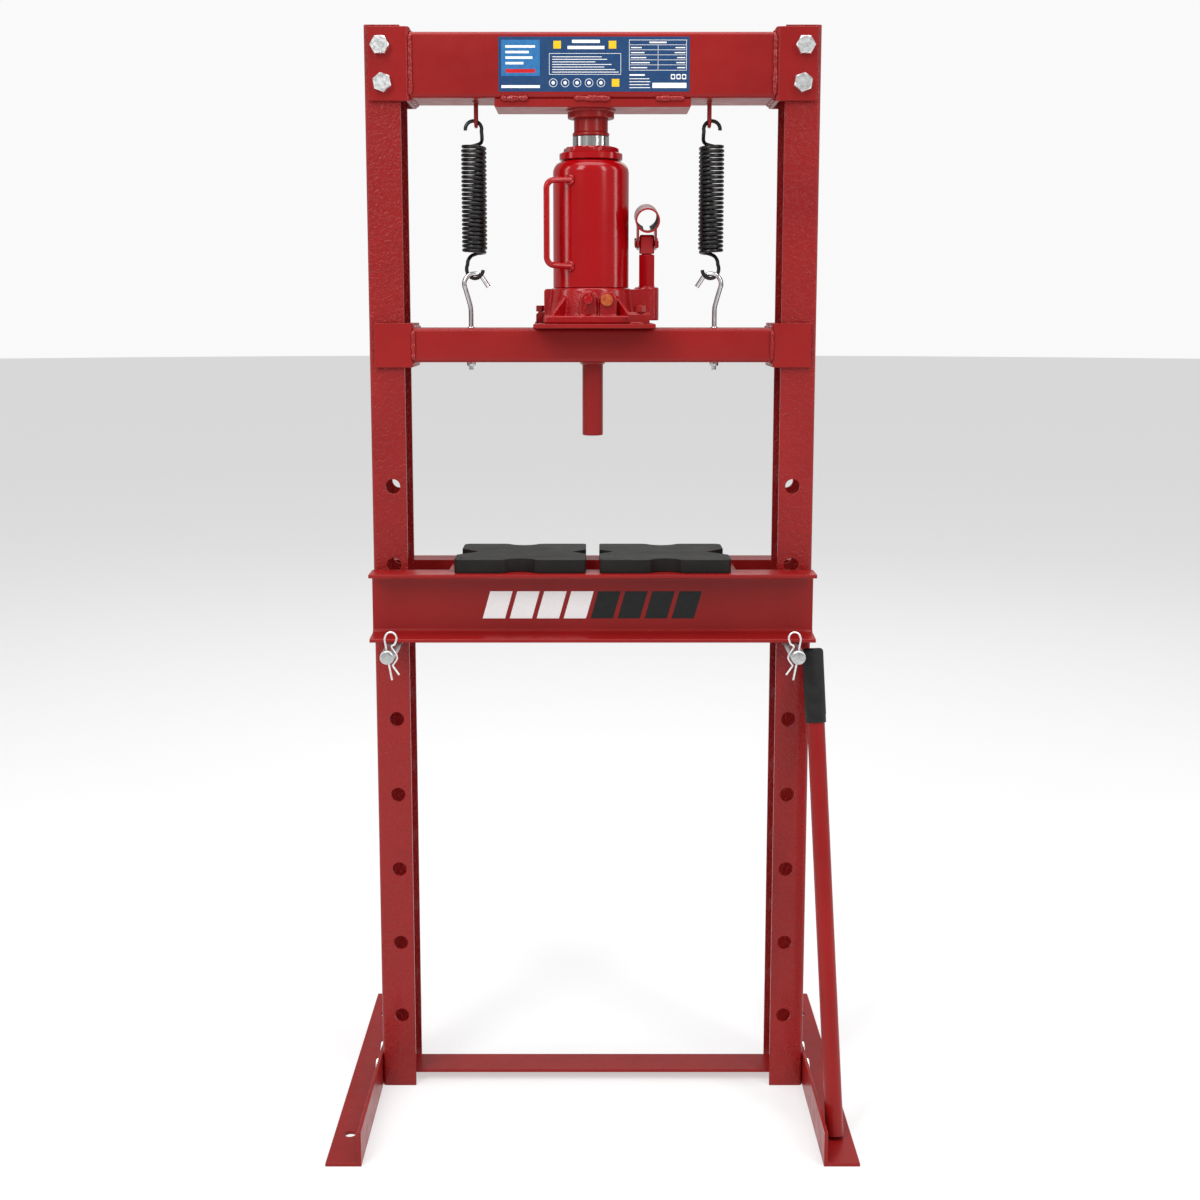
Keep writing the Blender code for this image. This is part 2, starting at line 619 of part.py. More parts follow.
def jack_tank(red):
    """The oil tank: a tube with a rounded shoulder and an open mouth, standing on the base's rim."""
    bottom, top = JACK_RIM_Z + GAP, TANK_TOP_Z - GAP
    bend, inner_bend = TANK_SHOULDER, TANK_SHOULDER - TANK_WALL
    outer = arc((TANK_RADIUS - bend, top - bend), bend, 0, 90, 5)
    inner = arc((TANK_RADIUS - bend, top - bend), inner_bend, 90, 0, 5)
    profile = [(TANK_RADIUS, bottom)] + outer + [(TANK_MOUTH, top), (TANK_MOUTH, top - TANK_WALL)]
    profile += inner + [(TANK_RADIUS - TANK_WALL, bottom)]
    return turned_shell("jack_tank", Matrix.Translation((JACK_X, 0, 0)), profile, red, 40)


def jack_cylinder(steel):
    bottom, top, bore = JACK_RIM_Z + GAP, TANK_TOP_Z - GAP, RAM_RADIUS + RAM_CLEARANCE
    profile = [(CYLINDER_RADIUS, bottom), (CYLINDER_RADIUS, top), (bore, top), (bore, bottom)]
    return turned_shell("jack_cylinder", Matrix.Translation((JACK_X, 0, 0)), profile, steel, 32)


def tank_nut(red):
    """The gland nut that closes the tank: a round flange under a hexagon, bored for the ram."""
    frame = Matrix.Translation((JACK_X, 0, 0))
    flange, hexes = circle(NUT_FLANGE_RADIUS), hexagon(NUT_FLATS, 15, 24)
    flange_top = TANK_TOP_Z + NUT_FLANGE_HEIGHT
    levels = [(TANK_TOP_Z, flange), (flange_top - 1 * MM, flange), (flange_top, circle(34.5 * MM))]
    levels += [(flange_top, hexes), (NUT_TOP_Z - 1 * MM, hexes), (NUT_TOP_Z, circle(28 * MM))]
    nut = loft("tank_nut", stack(frame, levels), red)
    bore = RAM_RADIUS + RAM_CLEARANCE
    return drill(nut, frame, [(0, 0)], bore, TANK_TOP_Z - 5 * MM, NUT_TOP_Z + 5 * MM, 32)


def carry_handle(red):
    """A bent bar whose two ends are welded to the tank's front left."""
    top, bottom, bend = 1080 * MM, 986 * MM, 9 * MM
    reach = Vector((-0.53, -0.85, 0)).normalized()
    root = Vector((JACK_X, 0, 0)) + reach * (TANK_RADIUS + GAP + 2.1 * MM)
    slant = Vector((-0.93, -0.37, 0)).normalized()
    length = 27.4 * MM
    upper = arc((length - bend, top - bend), bend, 90, 0, 4)
    lower = arc((length - bend, bottom + bend), bend, 0, -90, 4)
    path = [(0, top + 1 * MM)] + upper + lower + [(0, bottom - 1 * MM)]
    return rod("carry_handle", [root + slant * a + Vector((0, 0, z)) for a, z in path], 3.4 * MM, red, 10)


def jack_ram(chrome):
    profile = [(RAM_RADIUS, RAM_BOTTOM_Z), (RAM_RADIUS, RAM_TOP_Z)]
    return turned("jack_ram", Matrix.Translation((JACK_X, 0, 0)), profile, chrome, 32)


def ram_head(red):
    """The head on the ram's screw, which stands in the cup under the top beam."""
    bottom = RAM_TOP_Z + GAP
    top = BEAM_Z[0] - GAP - PAD_THICKNESS - GAP
    profile = [(21 * MM, bottom), (21 * MM, bottom + 3 * MM), (19.3 * MM, bottom + 5 * MM), (19.3 * MM, top)]
    return turned("ram_head", Matrix.Translation((JACK_X, 0, 0)), profile, red, 32)


def release_valve(red):
    """A valve screw with a bar through its head, to turn by hand."""
    face = PAD_FRONT_Y
    frame = Matrix.Translation((VALVE_X, 0, VALVE_Z)) @ ALONG_Y
    profile = [(3.8 * MM, -40 * MM), (3.8 * MM, face - GAP), (4.6 * MM, face - GAP), (5 * MM, face - 1.5 * MM)]
    profile += [(5 * MM, face - 11 * MM), (4.2 * MM, face - 12 * MM)]
    valve = turned("release_valve", frame, profile, red, 16)
    lean = math.radians(23)
    along = Vector((-math.sin(lean), 0, -math.cos(lean)))
    middle = Vector((VALVE_X, face - 5.5 * MM, VALVE_Z))
    ends = [middle - along * 10 * MM, middle + along * 12 * MM]
    return fuse(valve, rod("valve_bar", ends, 1.5 * MM, red, 8))


def valve_plug(brass):
    """The plug over the pressure valve."""
    face = PAD_FRONT_Y
    frame = Matrix.Translation((PLUG_X, 0, VALVE_Z)) @ ALONG_Y
    profile = [(3.9 * MM, -40 * MM), (3.9 * MM, face - GAP), (6.9 * MM, face - GAP), (6.9 * MM, face - 3 * MM)]
    profile.append((6.1 * MM, face - 4 * MM))
    return turned("valve_plug", frame, profile, brass, 20)


def build_jack(red, chrome, steel, brass):
    fixed = [jack_base(red), jack_tank(red), jack_cylinder(steel), tank_nut(red), carry_handle(red)]
    fixed += [valve_plug(brass), pump_barrel(red)]
    ram = [jack_ram(chrome), ram_head(red)]
    return fixed, ram, [release_valve(red)]


# ---------------------------------------------------------------- jack pump


def pump_barrel(red):
    """A hexagonal barrel with a bore for the plunger."""
    frame = Matrix.Translation((PUMP_X, 0, 0))
    bottom = PUMP_BOSS_TOP_Z + GAP
    outer, bore = hexagon(BARREL_FLATS), circle(PLUNGER_RADIUS + 0.4 * MM, 12)
    levels = [(bottom, outer), (BARREL_TOP_Z, outer), (BARREL_TOP_Z, bore), (bottom, bore)]
    return loft("pump_barrel", stack(frame, levels), red, closed=True)


def pump_plunger(chrome):
    """A round plunger whose flat-sided head takes the lever's pin."""
    frame = Matrix.Translation((PUMP_X, 0, 0))
    rod_outline = circle(PLUNGER_RADIUS, 16)
    plunger = bar("pump_plunger", frame, rod_outline, 940 * MM, 1003 * MM, chrome)
    low = (PUMP_X - 8.6 * MM, -7 * MM, BARREL_TOP_Z + 1 * MM)
    high = (PUMP_X + 8.6 * MM, 7 * MM, LEVER_PIN_Z + 8 * MM)
    fuse(plunger, box("plunger_head", low, high, chrome))
    ends = (PUMP_X - 15 * MM, PUMP_X + 15 * MM)
    return drill(plunger, ALONG_X, [(0, LEVER_PIN_Z)], 3.1 * MM, *ends, 12)


def socket_axis_z(y):
    return SOCKET_FRONT_Z + (y - SOCKET_Y[0]) * math.tan(math.radians(SOCKET_TILT))


def handle_socket(red):
    """A tube that takes the pump handle, on two ears that straddle the plunger's head."""
    tilt = math.radians(SOCKET_TILT)
    along = Matrix.Rotation(tilt, 4, "X") @ ALONG_Y
    frame = Matrix.Translation((PUMP_X, 0, socket_axis_z(0))) @ along
    start, end = SOCKET_Y[0] / math.cos(tilt), SOCKET_Y[1] / math.cos(tilt)
    bore = SOCKET_RADIUS - SOCKET_WALL
    socket = bar("handle_socket", frame, circle(SOCKET_RADIUS, 28), start, end, red)
    for label, side in SIDES.items():
        outline = [(-11 * MM, 1006 * MM), (8 * MM, 1004.5 * MM), (26 * MM, 1007 * MM), (29 * MM, 1012 * MM)]
        outline += [(27 * MM, socket_axis_z(27 * MM) - 4 * MM), (-13 * MM, socket_axis_z(-13 * MM) - 4 * MM)]
        inner = PUMP_X + side * EAR_OFFSET
        ear = bar(f"{label}_ear", ALONG_X, outline, *sorted((inner, inner + side * EAR_WALL)), red)
        fuse(socket, ear)
    drill(socket, frame, [(0, 0)], bore, start - 5 * MM, end + 5 * MM, 28)
    low = (PUMP_X - 4 * MM, -22 * MM, 1012 * MM)
    high = (PUMP_X + 4 * MM, 40 * MM, 1036 * MM)
    cut(socket, box("socket_slot", low, high, red))
    ends = (PUMP_X - 16 * MM, PUMP_X + 16 * MM)
    drill(socket, ALONG_X, [(0, LEVER_PIN_Z)], 3.1 * MM, *ends, 12)
    return drill(socket, ALONG_X, [(LINK_Y, LINK_TOP_Z)], 4.3 * MM, *ends, 12)


def headed_pin(name, y, z, radius, head, red):
    """A cross pin with a head at each side of the socket's ears."""
    frame = Matrix.Translation((PUMP_X, y, z)) @ ALONG_X
    face, tip = EAR_OFFSET + EAR_WALL + GAP, EAR_OFFSET + EAR_WALL + 2.3 * MM
    shank, cap = circle(radius, 12), circle(head, 12)
    levels = [(-tip, cap), (-face, cap), (-face, shank), (face, shank), (face, cap), (tip, cap)]
    return loft(name, stack(frame, levels), red)


def pump_link(red):
    """The link behind the pump, with its cross shaft in the base's lugs and a pin at its top."""
    thick = 2.4 * MM
    outline = arc((LINK_Y, LINK_FOOT_Z), 5 * MM, 180, 360, 6) + arc((LINK_Y, LINK_TOP_Z), 5 * MM, 0, 180, 6)
    link = bar("pump_link", ALONG_X, outline, PUMP_X - thick, PUMP_X + thick, red)
    shaft = Matrix.Translation((PUMP_X, LINK_Y, LINK_FOOT_Z)) @ ALONG_X
    fuse(link, bar("link_shaft", shaft, circle(3 * MM, 12), -9 * MM, 9 * MM, red))
    drill(link, ALONG_X, [(LINK_Y, LINK_TOP_Z)], 2.85 * MM, PUMP_X - 5 * MM, PUMP_X + 5 * MM, 12)
    return [link, headed_pin("link_pin", LINK_Y, LINK_TOP_Z, 2.5 * MM, 5 * MM, red)]


def build_pump(red, chrome):
    lever = [handle_socket(red), headed_pin("lever_pin", 0, LEVER_PIN_Z, 2.75 * MM, 4.4 * MM, red)]
    plunger, link = pump_plunger(red), pump_link(red)
    pivot("lever_axis", (PUMP_X, 0, LEVER_PIN_Z), *lever)
    pivot("plunger_axis", (PUMP_X, 0, BARREL_TOP_Z), plunger)
    pivot("link_axis", (PUMP_X, LINK_Y, LINK_FOOT_Z), *link)


# ---------------------------------------------------------------- bed


def bed_channel(name, end, red):
    """A rolled channel with its web against the posts and its flanges outwards."""
    low, high = BED_Z
    web_inner, web_outer = BED_WEB_Y
    outline = [(web_inner, low), (BED_FLANGE_Y, low), (BED_FLANGE_Y, low + 0.7 * BED_FLANGE)]
    outline += [(web_outer + 2 * MM, low + 1.2 * BED_FLANGE), (web_outer, low + 1.2 * BED_FLANGE + 2 * MM)]
    outline += [(web_outer, high - 1.2 * BED_FLANGE - 2 * MM), (web_outer + 2 * MM, high - 1.2 * BED_FLANGE)]
    outline += [(BED_FLANGE_Y, high - 0.7 * BED_FLANGE), (BED_FLANGE_Y, high), (web_inner, high)]
    points = [(end * y, z) for y, z in outline]
    return bar(name, ALONG_X, points, -BED_HALF_LENGTH, BED_HALF_LENGTH, red)


def arbor_plate(name, side, black):
    """A flat plate with a vee in each side edge and a shallow round notch in the front and rear edges."""
    inner, outer = PLATE_X
    depth, corner = PLATE_HALF_DEPTH, 4 * MM
    middle = (inner + outer) / 2
    notch_radius, notch_depth, lip = 20 * MM, 12 * MM, 5 * MM
    half = math.sqrt(notch_radius**2 - (notch_radius - notch_depth) ** 2)
    spread = math.degrees(math.asin(half / notch_radius))
    front_notch = arc((middle, -depth - notch_radius + notch_depth), notch_radius, 90 + spread, 90 - spread, 6)
    rear_notch = arc((middle, depth + notch_radius - notch_depth), notch_radius, 270 + spread, 270 - spread, 6)
    outline = arc((inner + corner, -depth + corner), corner, 180, 270, 2)
    outline += [(middle - half - lip, -depth), *front_notch, (middle + half + lip, -depth)]
    outline += arc((outer - 2 * corner, -depth + 2 * corner), 2 * corner, 270, 360, 3)
    outline += [(outer, -24 * MM), (outer - 24 * MM, 0), (outer - 3 * MM, 24 * MM)]
    outline += arc((outer - 2 * corner - 3 * MM, depth - 2 * corner), 2 * corner, 0, 90, 3)
    outline += [(middle + half + lip, depth), *rear_notch, (middle - half - lip, depth)]
    outline += arc((inner + corner, depth - corner), corner, 90, 180, 2)
    outline += [(inner, 16 * MM), (inner + 16 * MM, 0), (inner, -16 * MM)]
    bottom = BED_Z[1] + GAP
    return bar(name, ALONG_Z, mirrored(outline, side), bottom, bottom + PLATE_THICKNESS, black)


def clip_path():
    """The R-clip's wire in its own plane: a straight leg, a round head and a waved leg."""
    path = [(4.7, -27.4), (1.2, -8), (-1.2, 8), (-3.0, 19.4)]
    path += arc((3.9, 21.2), 6.5, 190, -35, 8)
    path += [(4.6, 11.6), (4.7, 10.2), (10.4, 0.4), (10.5, -1.4), (10.2, -3.2), (6.0, -9.6), (6.0, -11.2), (12.8, -21.3)]
    return [(a * MM, b * MM) for a, b in path]


def bed_pin(name, side, zinc):
    """A plain bar with chamfered ends and a cross hole for its clip."""
    chamfer = 1.2 * MM
    frame = Matrix.Translation((side * HOLE_X, 0, PIN_Z)) @ ALONG_Y
    profile = [(PIN_RADIUS - chamfer, PIN_Y[0]), (PIN_RADIUS, PIN_Y[0] + chamfer)]
    profile += [(PIN_RADIUS, PIN_Y[1] - chamfer), (PIN_RADIUS - chamfer, PIN_Y[1])]
    pin = turned(name, frame, profile, zinc)
    leg = [Vector((-side * a, 0, z)) for a, z in (clip_path()[0], clip_path()[2])]
    along = (leg[1] - leg[0]).normalized()
    middle = Vector((side * HOLE_X, CLIP_Y, PIN_Z))
    hole = rod(name + "_hole", [middle - along * 12 * MM, middle + along * 12 * MM], 1.7 * MM, zinc, 8)
    return cut(pin, hole)


def r_clip(name, side, zinc):
    path = [(side * HOLE_X - side * a, CLIP_Y, PIN_Z + z) for a, z in clip_path()]
    return rod(name, path, CLIP_WIRE, zinc, 6)


def build_bed(red, black, zinc):
    channels = [bed_channel("front_bed_channel", -1, red), bed_channel("rear_bed_channel", 1, red)]
    spacer_y = BED_WEB_Y[0] - GAP
    low = (SPACER_X - 4 * MM, -spacer_y, BED_Z[0] + 4 * MM)
    high = (SPACER_X + 4 * MM, spacer_y, BED_Z[1] - 4 * MM)
    spacers = [side_box(label + "_bed_spacer", side, low, high, red) for label, side in SIDES.items()]
    pivot("bed_lift_axis", (0, 0, BED_Z[0]), *channels, *spacers)
    for label, side in SIDES.items():
        plate = arbor_plate(label + "_arbor_plate", side, black)
        pivot(label + "_plate_axis", (side * sum(PLATE_X) / 2, 0, BED_Z[1]), plate)
        pin, clip = bed_pin(label + "_bed_pin", side, zinc), r_clip(label + "_r_clip", side, zinc)
        pivot(label + "_pin_axis", (side * HOLE_X, 0, PIN_Z), pin)
        pivot(label + "_clip_axis", (side * HOLE_X, CLIP_Y, PIN_Z), clip)


# ---------------------------------------------------------------- pump handle


def build_handle(red, rubber):
    """The loose lever: a tube in a grip, which stands on the foot and leans on the post."""
    along = (HANDLE_TOP - HANDLE_FOOT).normalized()
    frame = Matrix.Translation(HANDLE_FOOT) @ along.to_track_quat("Z", "Y").to_matrix().to_4x4()
    length = (HANDLE_TOP - HANDLE_FOOT).length
    tube_end = length - 4 * MM
    grip_start = length - GRIP_LENGTH
    profile = [(HANDLE_RADIUS, 0), (HANDLE_RADIUS, tube_end), (HANDLE_BORE, tube_end), (HANDLE_BORE, 0)]
    tube = turned_shell("pump_handle_bar", frame, profile, red, 20)
    bore, collar_end = HANDLE_RADIUS + GAP, grip_start + 9 * MM
    collar_radius = GRIP_RADIUS - 0.4 * MM
    profile = [(collar_radius, grip_start), (collar_radius, collar_end), (GRIP_RADIUS, collar_end + 0.5 * MM)]
    profile += [(GRIP_RADIUS, length - 2 * MM), (GRIP_RADIUS - 2 * MM, length)]
    grip = turned("pump_handle_grip", frame, profile, rubber, 20)
    drill(grip, frame, [(0, 0)], bore, grip_start - 5 * MM, tube_end + GAP, 20)
    pivot("handle_axis", HANDLE_FOOT, tube, grip)


# ---------------------------------------------------------------- assembly


def main():
    clear_scene()
    frame_red = paint("frame_paint", (0.36, 0.03, 0.03), 0.42)
    jack_red = paint("jack_paint", (0.44, 0.0, 0.01), 0.25)
    zinc = paint("zinc_plate", (0.6, 0.61, 0.62), 0.35, 1.0)
    chrome = paint("bright_chrome", (0.7, 0.71, 0.72), 0.15, 1.0)
    steel = paint("machined_steel", (0.45, 0.45, 0.46), 0.35, 1.0)
    spring_black = paint("spring_black", (0.012, 0.012, 0.012), 0.4)
    plate_black = paint("plate_black", (0.03, 0.03, 0.028), 0.5)
    brass = paint("brass_plug", (0.5, 0.16, 0.04), 0.4, 0.3)
    rubber = paint("grip_rubber", (0.02, 0.02, 0.02), 0.6)

    build_frame(frame_red, zinc)
    build_springs(spring_black)
    crosshead = build_crosshead(frame_red, chrome)
    fixed_jack, ram, valve = build_jack(jack_red, chrome, steel, brass)
    pivot("crosshead_axis", (0, 0, SLIDE_BEAM_Z[1]), *crosshead, *fixed_jack)
    pivot("ram_axis", (JACK_X, 0, RAM_BOTTOM_Z), *ram)
    pivot("release_valve_axis", (VALVE_X, PAD_FRONT_Y, VALVE_Z), *valve)
    build_pump(jack_red, chrome)
    build_bed(frame_red, plate_black, zinc)
    build_handle(frame_red, rubber)


main()
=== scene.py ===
"""Looks for the hydraulic shop press: detailed pieces, procedural paints, floor, lights and camera.

Shapes are written in millimetres in the CAD's frame and scaled to metres when a piece is made. +X is the
operator's right, -Y the front and +Z up. Each piece rides on the CAD body of the node it stands for.
"""

import json
import math

import bmesh
import bpy
from mathutils import Matrix, Vector, noise


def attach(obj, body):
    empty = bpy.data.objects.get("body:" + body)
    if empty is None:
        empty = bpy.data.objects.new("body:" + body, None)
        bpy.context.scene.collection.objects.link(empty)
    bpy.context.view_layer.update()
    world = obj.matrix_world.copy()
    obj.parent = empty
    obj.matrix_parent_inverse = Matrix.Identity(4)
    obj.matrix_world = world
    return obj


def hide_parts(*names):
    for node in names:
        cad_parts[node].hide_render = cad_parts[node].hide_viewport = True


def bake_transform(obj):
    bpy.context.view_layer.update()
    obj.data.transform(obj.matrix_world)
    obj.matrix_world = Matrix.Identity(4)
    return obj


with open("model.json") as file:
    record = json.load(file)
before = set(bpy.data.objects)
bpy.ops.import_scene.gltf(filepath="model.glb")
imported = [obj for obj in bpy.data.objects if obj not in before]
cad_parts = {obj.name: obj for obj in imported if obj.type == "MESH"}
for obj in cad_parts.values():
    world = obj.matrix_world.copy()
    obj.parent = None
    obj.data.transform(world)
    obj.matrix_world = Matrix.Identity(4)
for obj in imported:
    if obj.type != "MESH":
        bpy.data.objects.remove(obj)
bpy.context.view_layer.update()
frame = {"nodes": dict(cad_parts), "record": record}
RECORD = frame["record"]
SLOT_OF = {part["node"]: part["material_slot"] for part in RECORD["subparts"]}
BODY_OF = {node: body for body, nodes in RECORD["behaviour"]["bodies"].items() for node in nodes}
MM = 0.001
ALONG_X = Matrix(((0, 0, 1, 0), (1, 0, 0, 0), (0, 1, 0, 0), (0, 0, 0, 1)))
ALONG_Y = Matrix(((1, 0, 0, 0), (0, 0, 1, 0), (0, 1, 0, 0), (0, 0, 0, 1)))
ALONG_Z = Matrix.Identity(4)
SIDES = {"left": -1, "right": 1}
MATERIALS = {}

# Places that several pieces share, in millimetres. Z pairs are a beam's underside and top.
POST_HEIGHT, POST_X = 1250, 231
LOWEST_HOLE, HOLE_PITCH, HOLE_COUNT = 90, 92, 8
TOP_BEAM_Z, SLIDE_BEAM_Z = (1170.4, 1242.4), (876.6, 915.6)
BEAM_FRONT, BED_FRONT = -38, -42
PIN_Z = 549.8
EYE_X, SPRING_X, HOOK_X = 133, 136, 141
JACK_X, PUMP_X, VALVE_Z = -2, 62.3, 947
SEAT_TOP, TANK_FOOT, FLANGE = 921, 961, 1105
HANDLE_ROOTS = (1081, 985)
JACK = Matrix.Translation((JACK_X, 0, 0))
PUMP = Matrix.Translation((PUMP_X, 0, 0))

# Edges over these angles stay sharp in the shading, or are bevelled.
SHARP_ANGLE, EASED_ANGLE = math.radians(35), math.radians(32)
# The size of the grid, in millimetres, that the jack's base is fused on.
VOXEL = 0.75

# The studio, in metres and watts.
FLOOR_GREY, FLOOR_GLOW, FLOOR_RADIUS = 0.46, 0.5, 30
WORLD_LIGHT, WORLD_SEEN = 0.38, 0.95
LAMP_TARGET = (0, 0, 0.75)
CAMERA_PLACE, CAMERA_TILT, CAMERA_LENS = (0, -1.909, 0.940), 8.15, 48.93


# ---------------------------------------------------------------- materials


class Surface:
    """A Principled material whose colour, roughness and relief come from noise in object space."""

    def __init__(self, name, **sockets):
        self.material = bpy.data.materials.new(name)
        self.material.use_nodes = True
        tree = self.material.node_tree
        self.nodes, self.links = tree.nodes, tree.links
        self.shader = self.nodes["Principled BSDF"]
        for socket, value in sockets.items():
            self.shader.inputs[socket.replace("_", " ")].default_value = value
        self.coords = self.nodes.new("ShaderNodeTexCoord").outputs["Object"]
        self.normal = None

    def stretched(self, stretch):
        mapping = self.nodes.new("ShaderNodeMapping")
        mapping.inputs["Scale"].default_value = stretch
        self.links.new(self.coords, mapping.inputs["Vector"])
        return mapping.outputs["Vector"]

    def noise(self, scale, detail=2, stretch=None, distortion=0.0):
        texture = self.nodes.new("ShaderNodeTexNoise")
        texture.inputs["Scale"].default_value = scale
        texture.inputs["Detail"].default_value = detail
        texture.inputs["Distortion"].default_value = distortion
        self.links.new(self.stretched(stretch) if stretch else self.coords, texture.inputs["Vector"])
        return texture.outputs["Fac"]

    def ramp(self, value, *stops):
        """Maps a value to colours at (position, colour) stops."""
        node = self.nodes.new("ShaderNodeValToRGB")
        elements = node.color_ramp.elements
        while len(elements) < len(stops):
            elements.new(0.5)
        for element, (position, colour) in zip(elements, stops):
            element.position, element.color = position, (*colour, 1)
        self.links.new(value, node.inputs["Fac"])
        return node.outputs["Color"]

    def spread(self, value, low, high, start=0.3, end=0.7):
        node = self.nodes.new("ShaderNodeMapRange")
        for socket, number in (("From Min", start), ("From Max", end), ("To Min", low), ("To Max", high)):
            node.inputs[socket].default_value = number
        self.links.new(value, node.inputs["Value"])
        return node.outputs["Result"]

    def mixed(self, factor, first, second):
        node = self.nodes.new("ShaderNodeMix")
        node.data_type = "RGBA"
        self.links.new(factor, node.inputs["Factor"])
        self.links.new(first, node.inputs["A"])
        self.links.new(second, node.inputs["B"])
        return node.outputs["Result"]

    def colour(self, value):
        self.links.new(value, self.shader.inputs["Base Color"])

    def rough(self, value):
        self.links.new(value, self.shader.inputs["Roughness"])

    def relief(self, value, strength, depth):
        """Adds a bump of `depth` millimetres on top of the relief so far."""
        node = self.nodes.new("ShaderNodeBump")
        node.inputs["Strength"].default_value = strength
        node.inputs["Distance"].default_value = depth * MM
        self.links.new(value, node.inputs["Height"])
        if self.normal:
            self.links.new(self.normal, node.inputs["Normal"])
        self.normal = node.outputs["Normal"]
        self.links.new(self.normal, self.shader.inputs["Normal"])


def enamel(name, dark, light, roughness, peel, lumps, coat):
    """Sprayed paint: slow changes of tone, orange peel and the metal's own unevenness under it."""
    paint = Surface(name, Coat_Weight=coat, Coat_Roughness=0.12, Specular_IOR_Level=0.2)
    tone = paint.noise(7, 3, distortion=0.4)
    specks = paint.noise(900, 2)
    shades = paint.ramp(tone, (0.32, dark), (0.68, light))
    dusty = tuple(channel * 0.6 + 0.02 for channel in dark)
    grime = paint.ramp(paint.noise(38, 5), (0.3, dusty), (0.42, light))
    paint.colour(paint.mixed(paint.spread(specks, 0.0, 0.22, 0.55, 0.75), shades, grime))
    paint.rough(paint.spread(paint.noise(60, 4), *roughness))
    paint.relief(paint.noise(70, 2), lumps, 0.5)
    paint.relief(paint.noise(250, 2, distortion=0.6), peel, 0.22)
    paint.relief(paint.noise(620, 1), peel, 0.06)
    MATERIALS[name] = paint.material
    return paint


def plated(name, dark, light, roughness, grain, stretch):
    """Bare or plated metal with a drawn or turned grain and a few stains."""
    metal = Surface(name, Metallic=1.0)
    lines = metal.noise(grain, 3, stretch)
    cloud = metal.noise(45, 3)
    stain = metal.spread(cloud, 0, 0.6)
    grained = metal.ramp(lines, (0.35, dark), (0.65, light))
    metal.colour(metal.mixed(stain, grained, metal.ramp(cloud, (0.3, light), (0.7, dark))))
    metal.rough(metal.spread(lines, *roughness))
    metal.relief(lines, 0.18, 0.05)
    MATERIALS[name] = metal.material


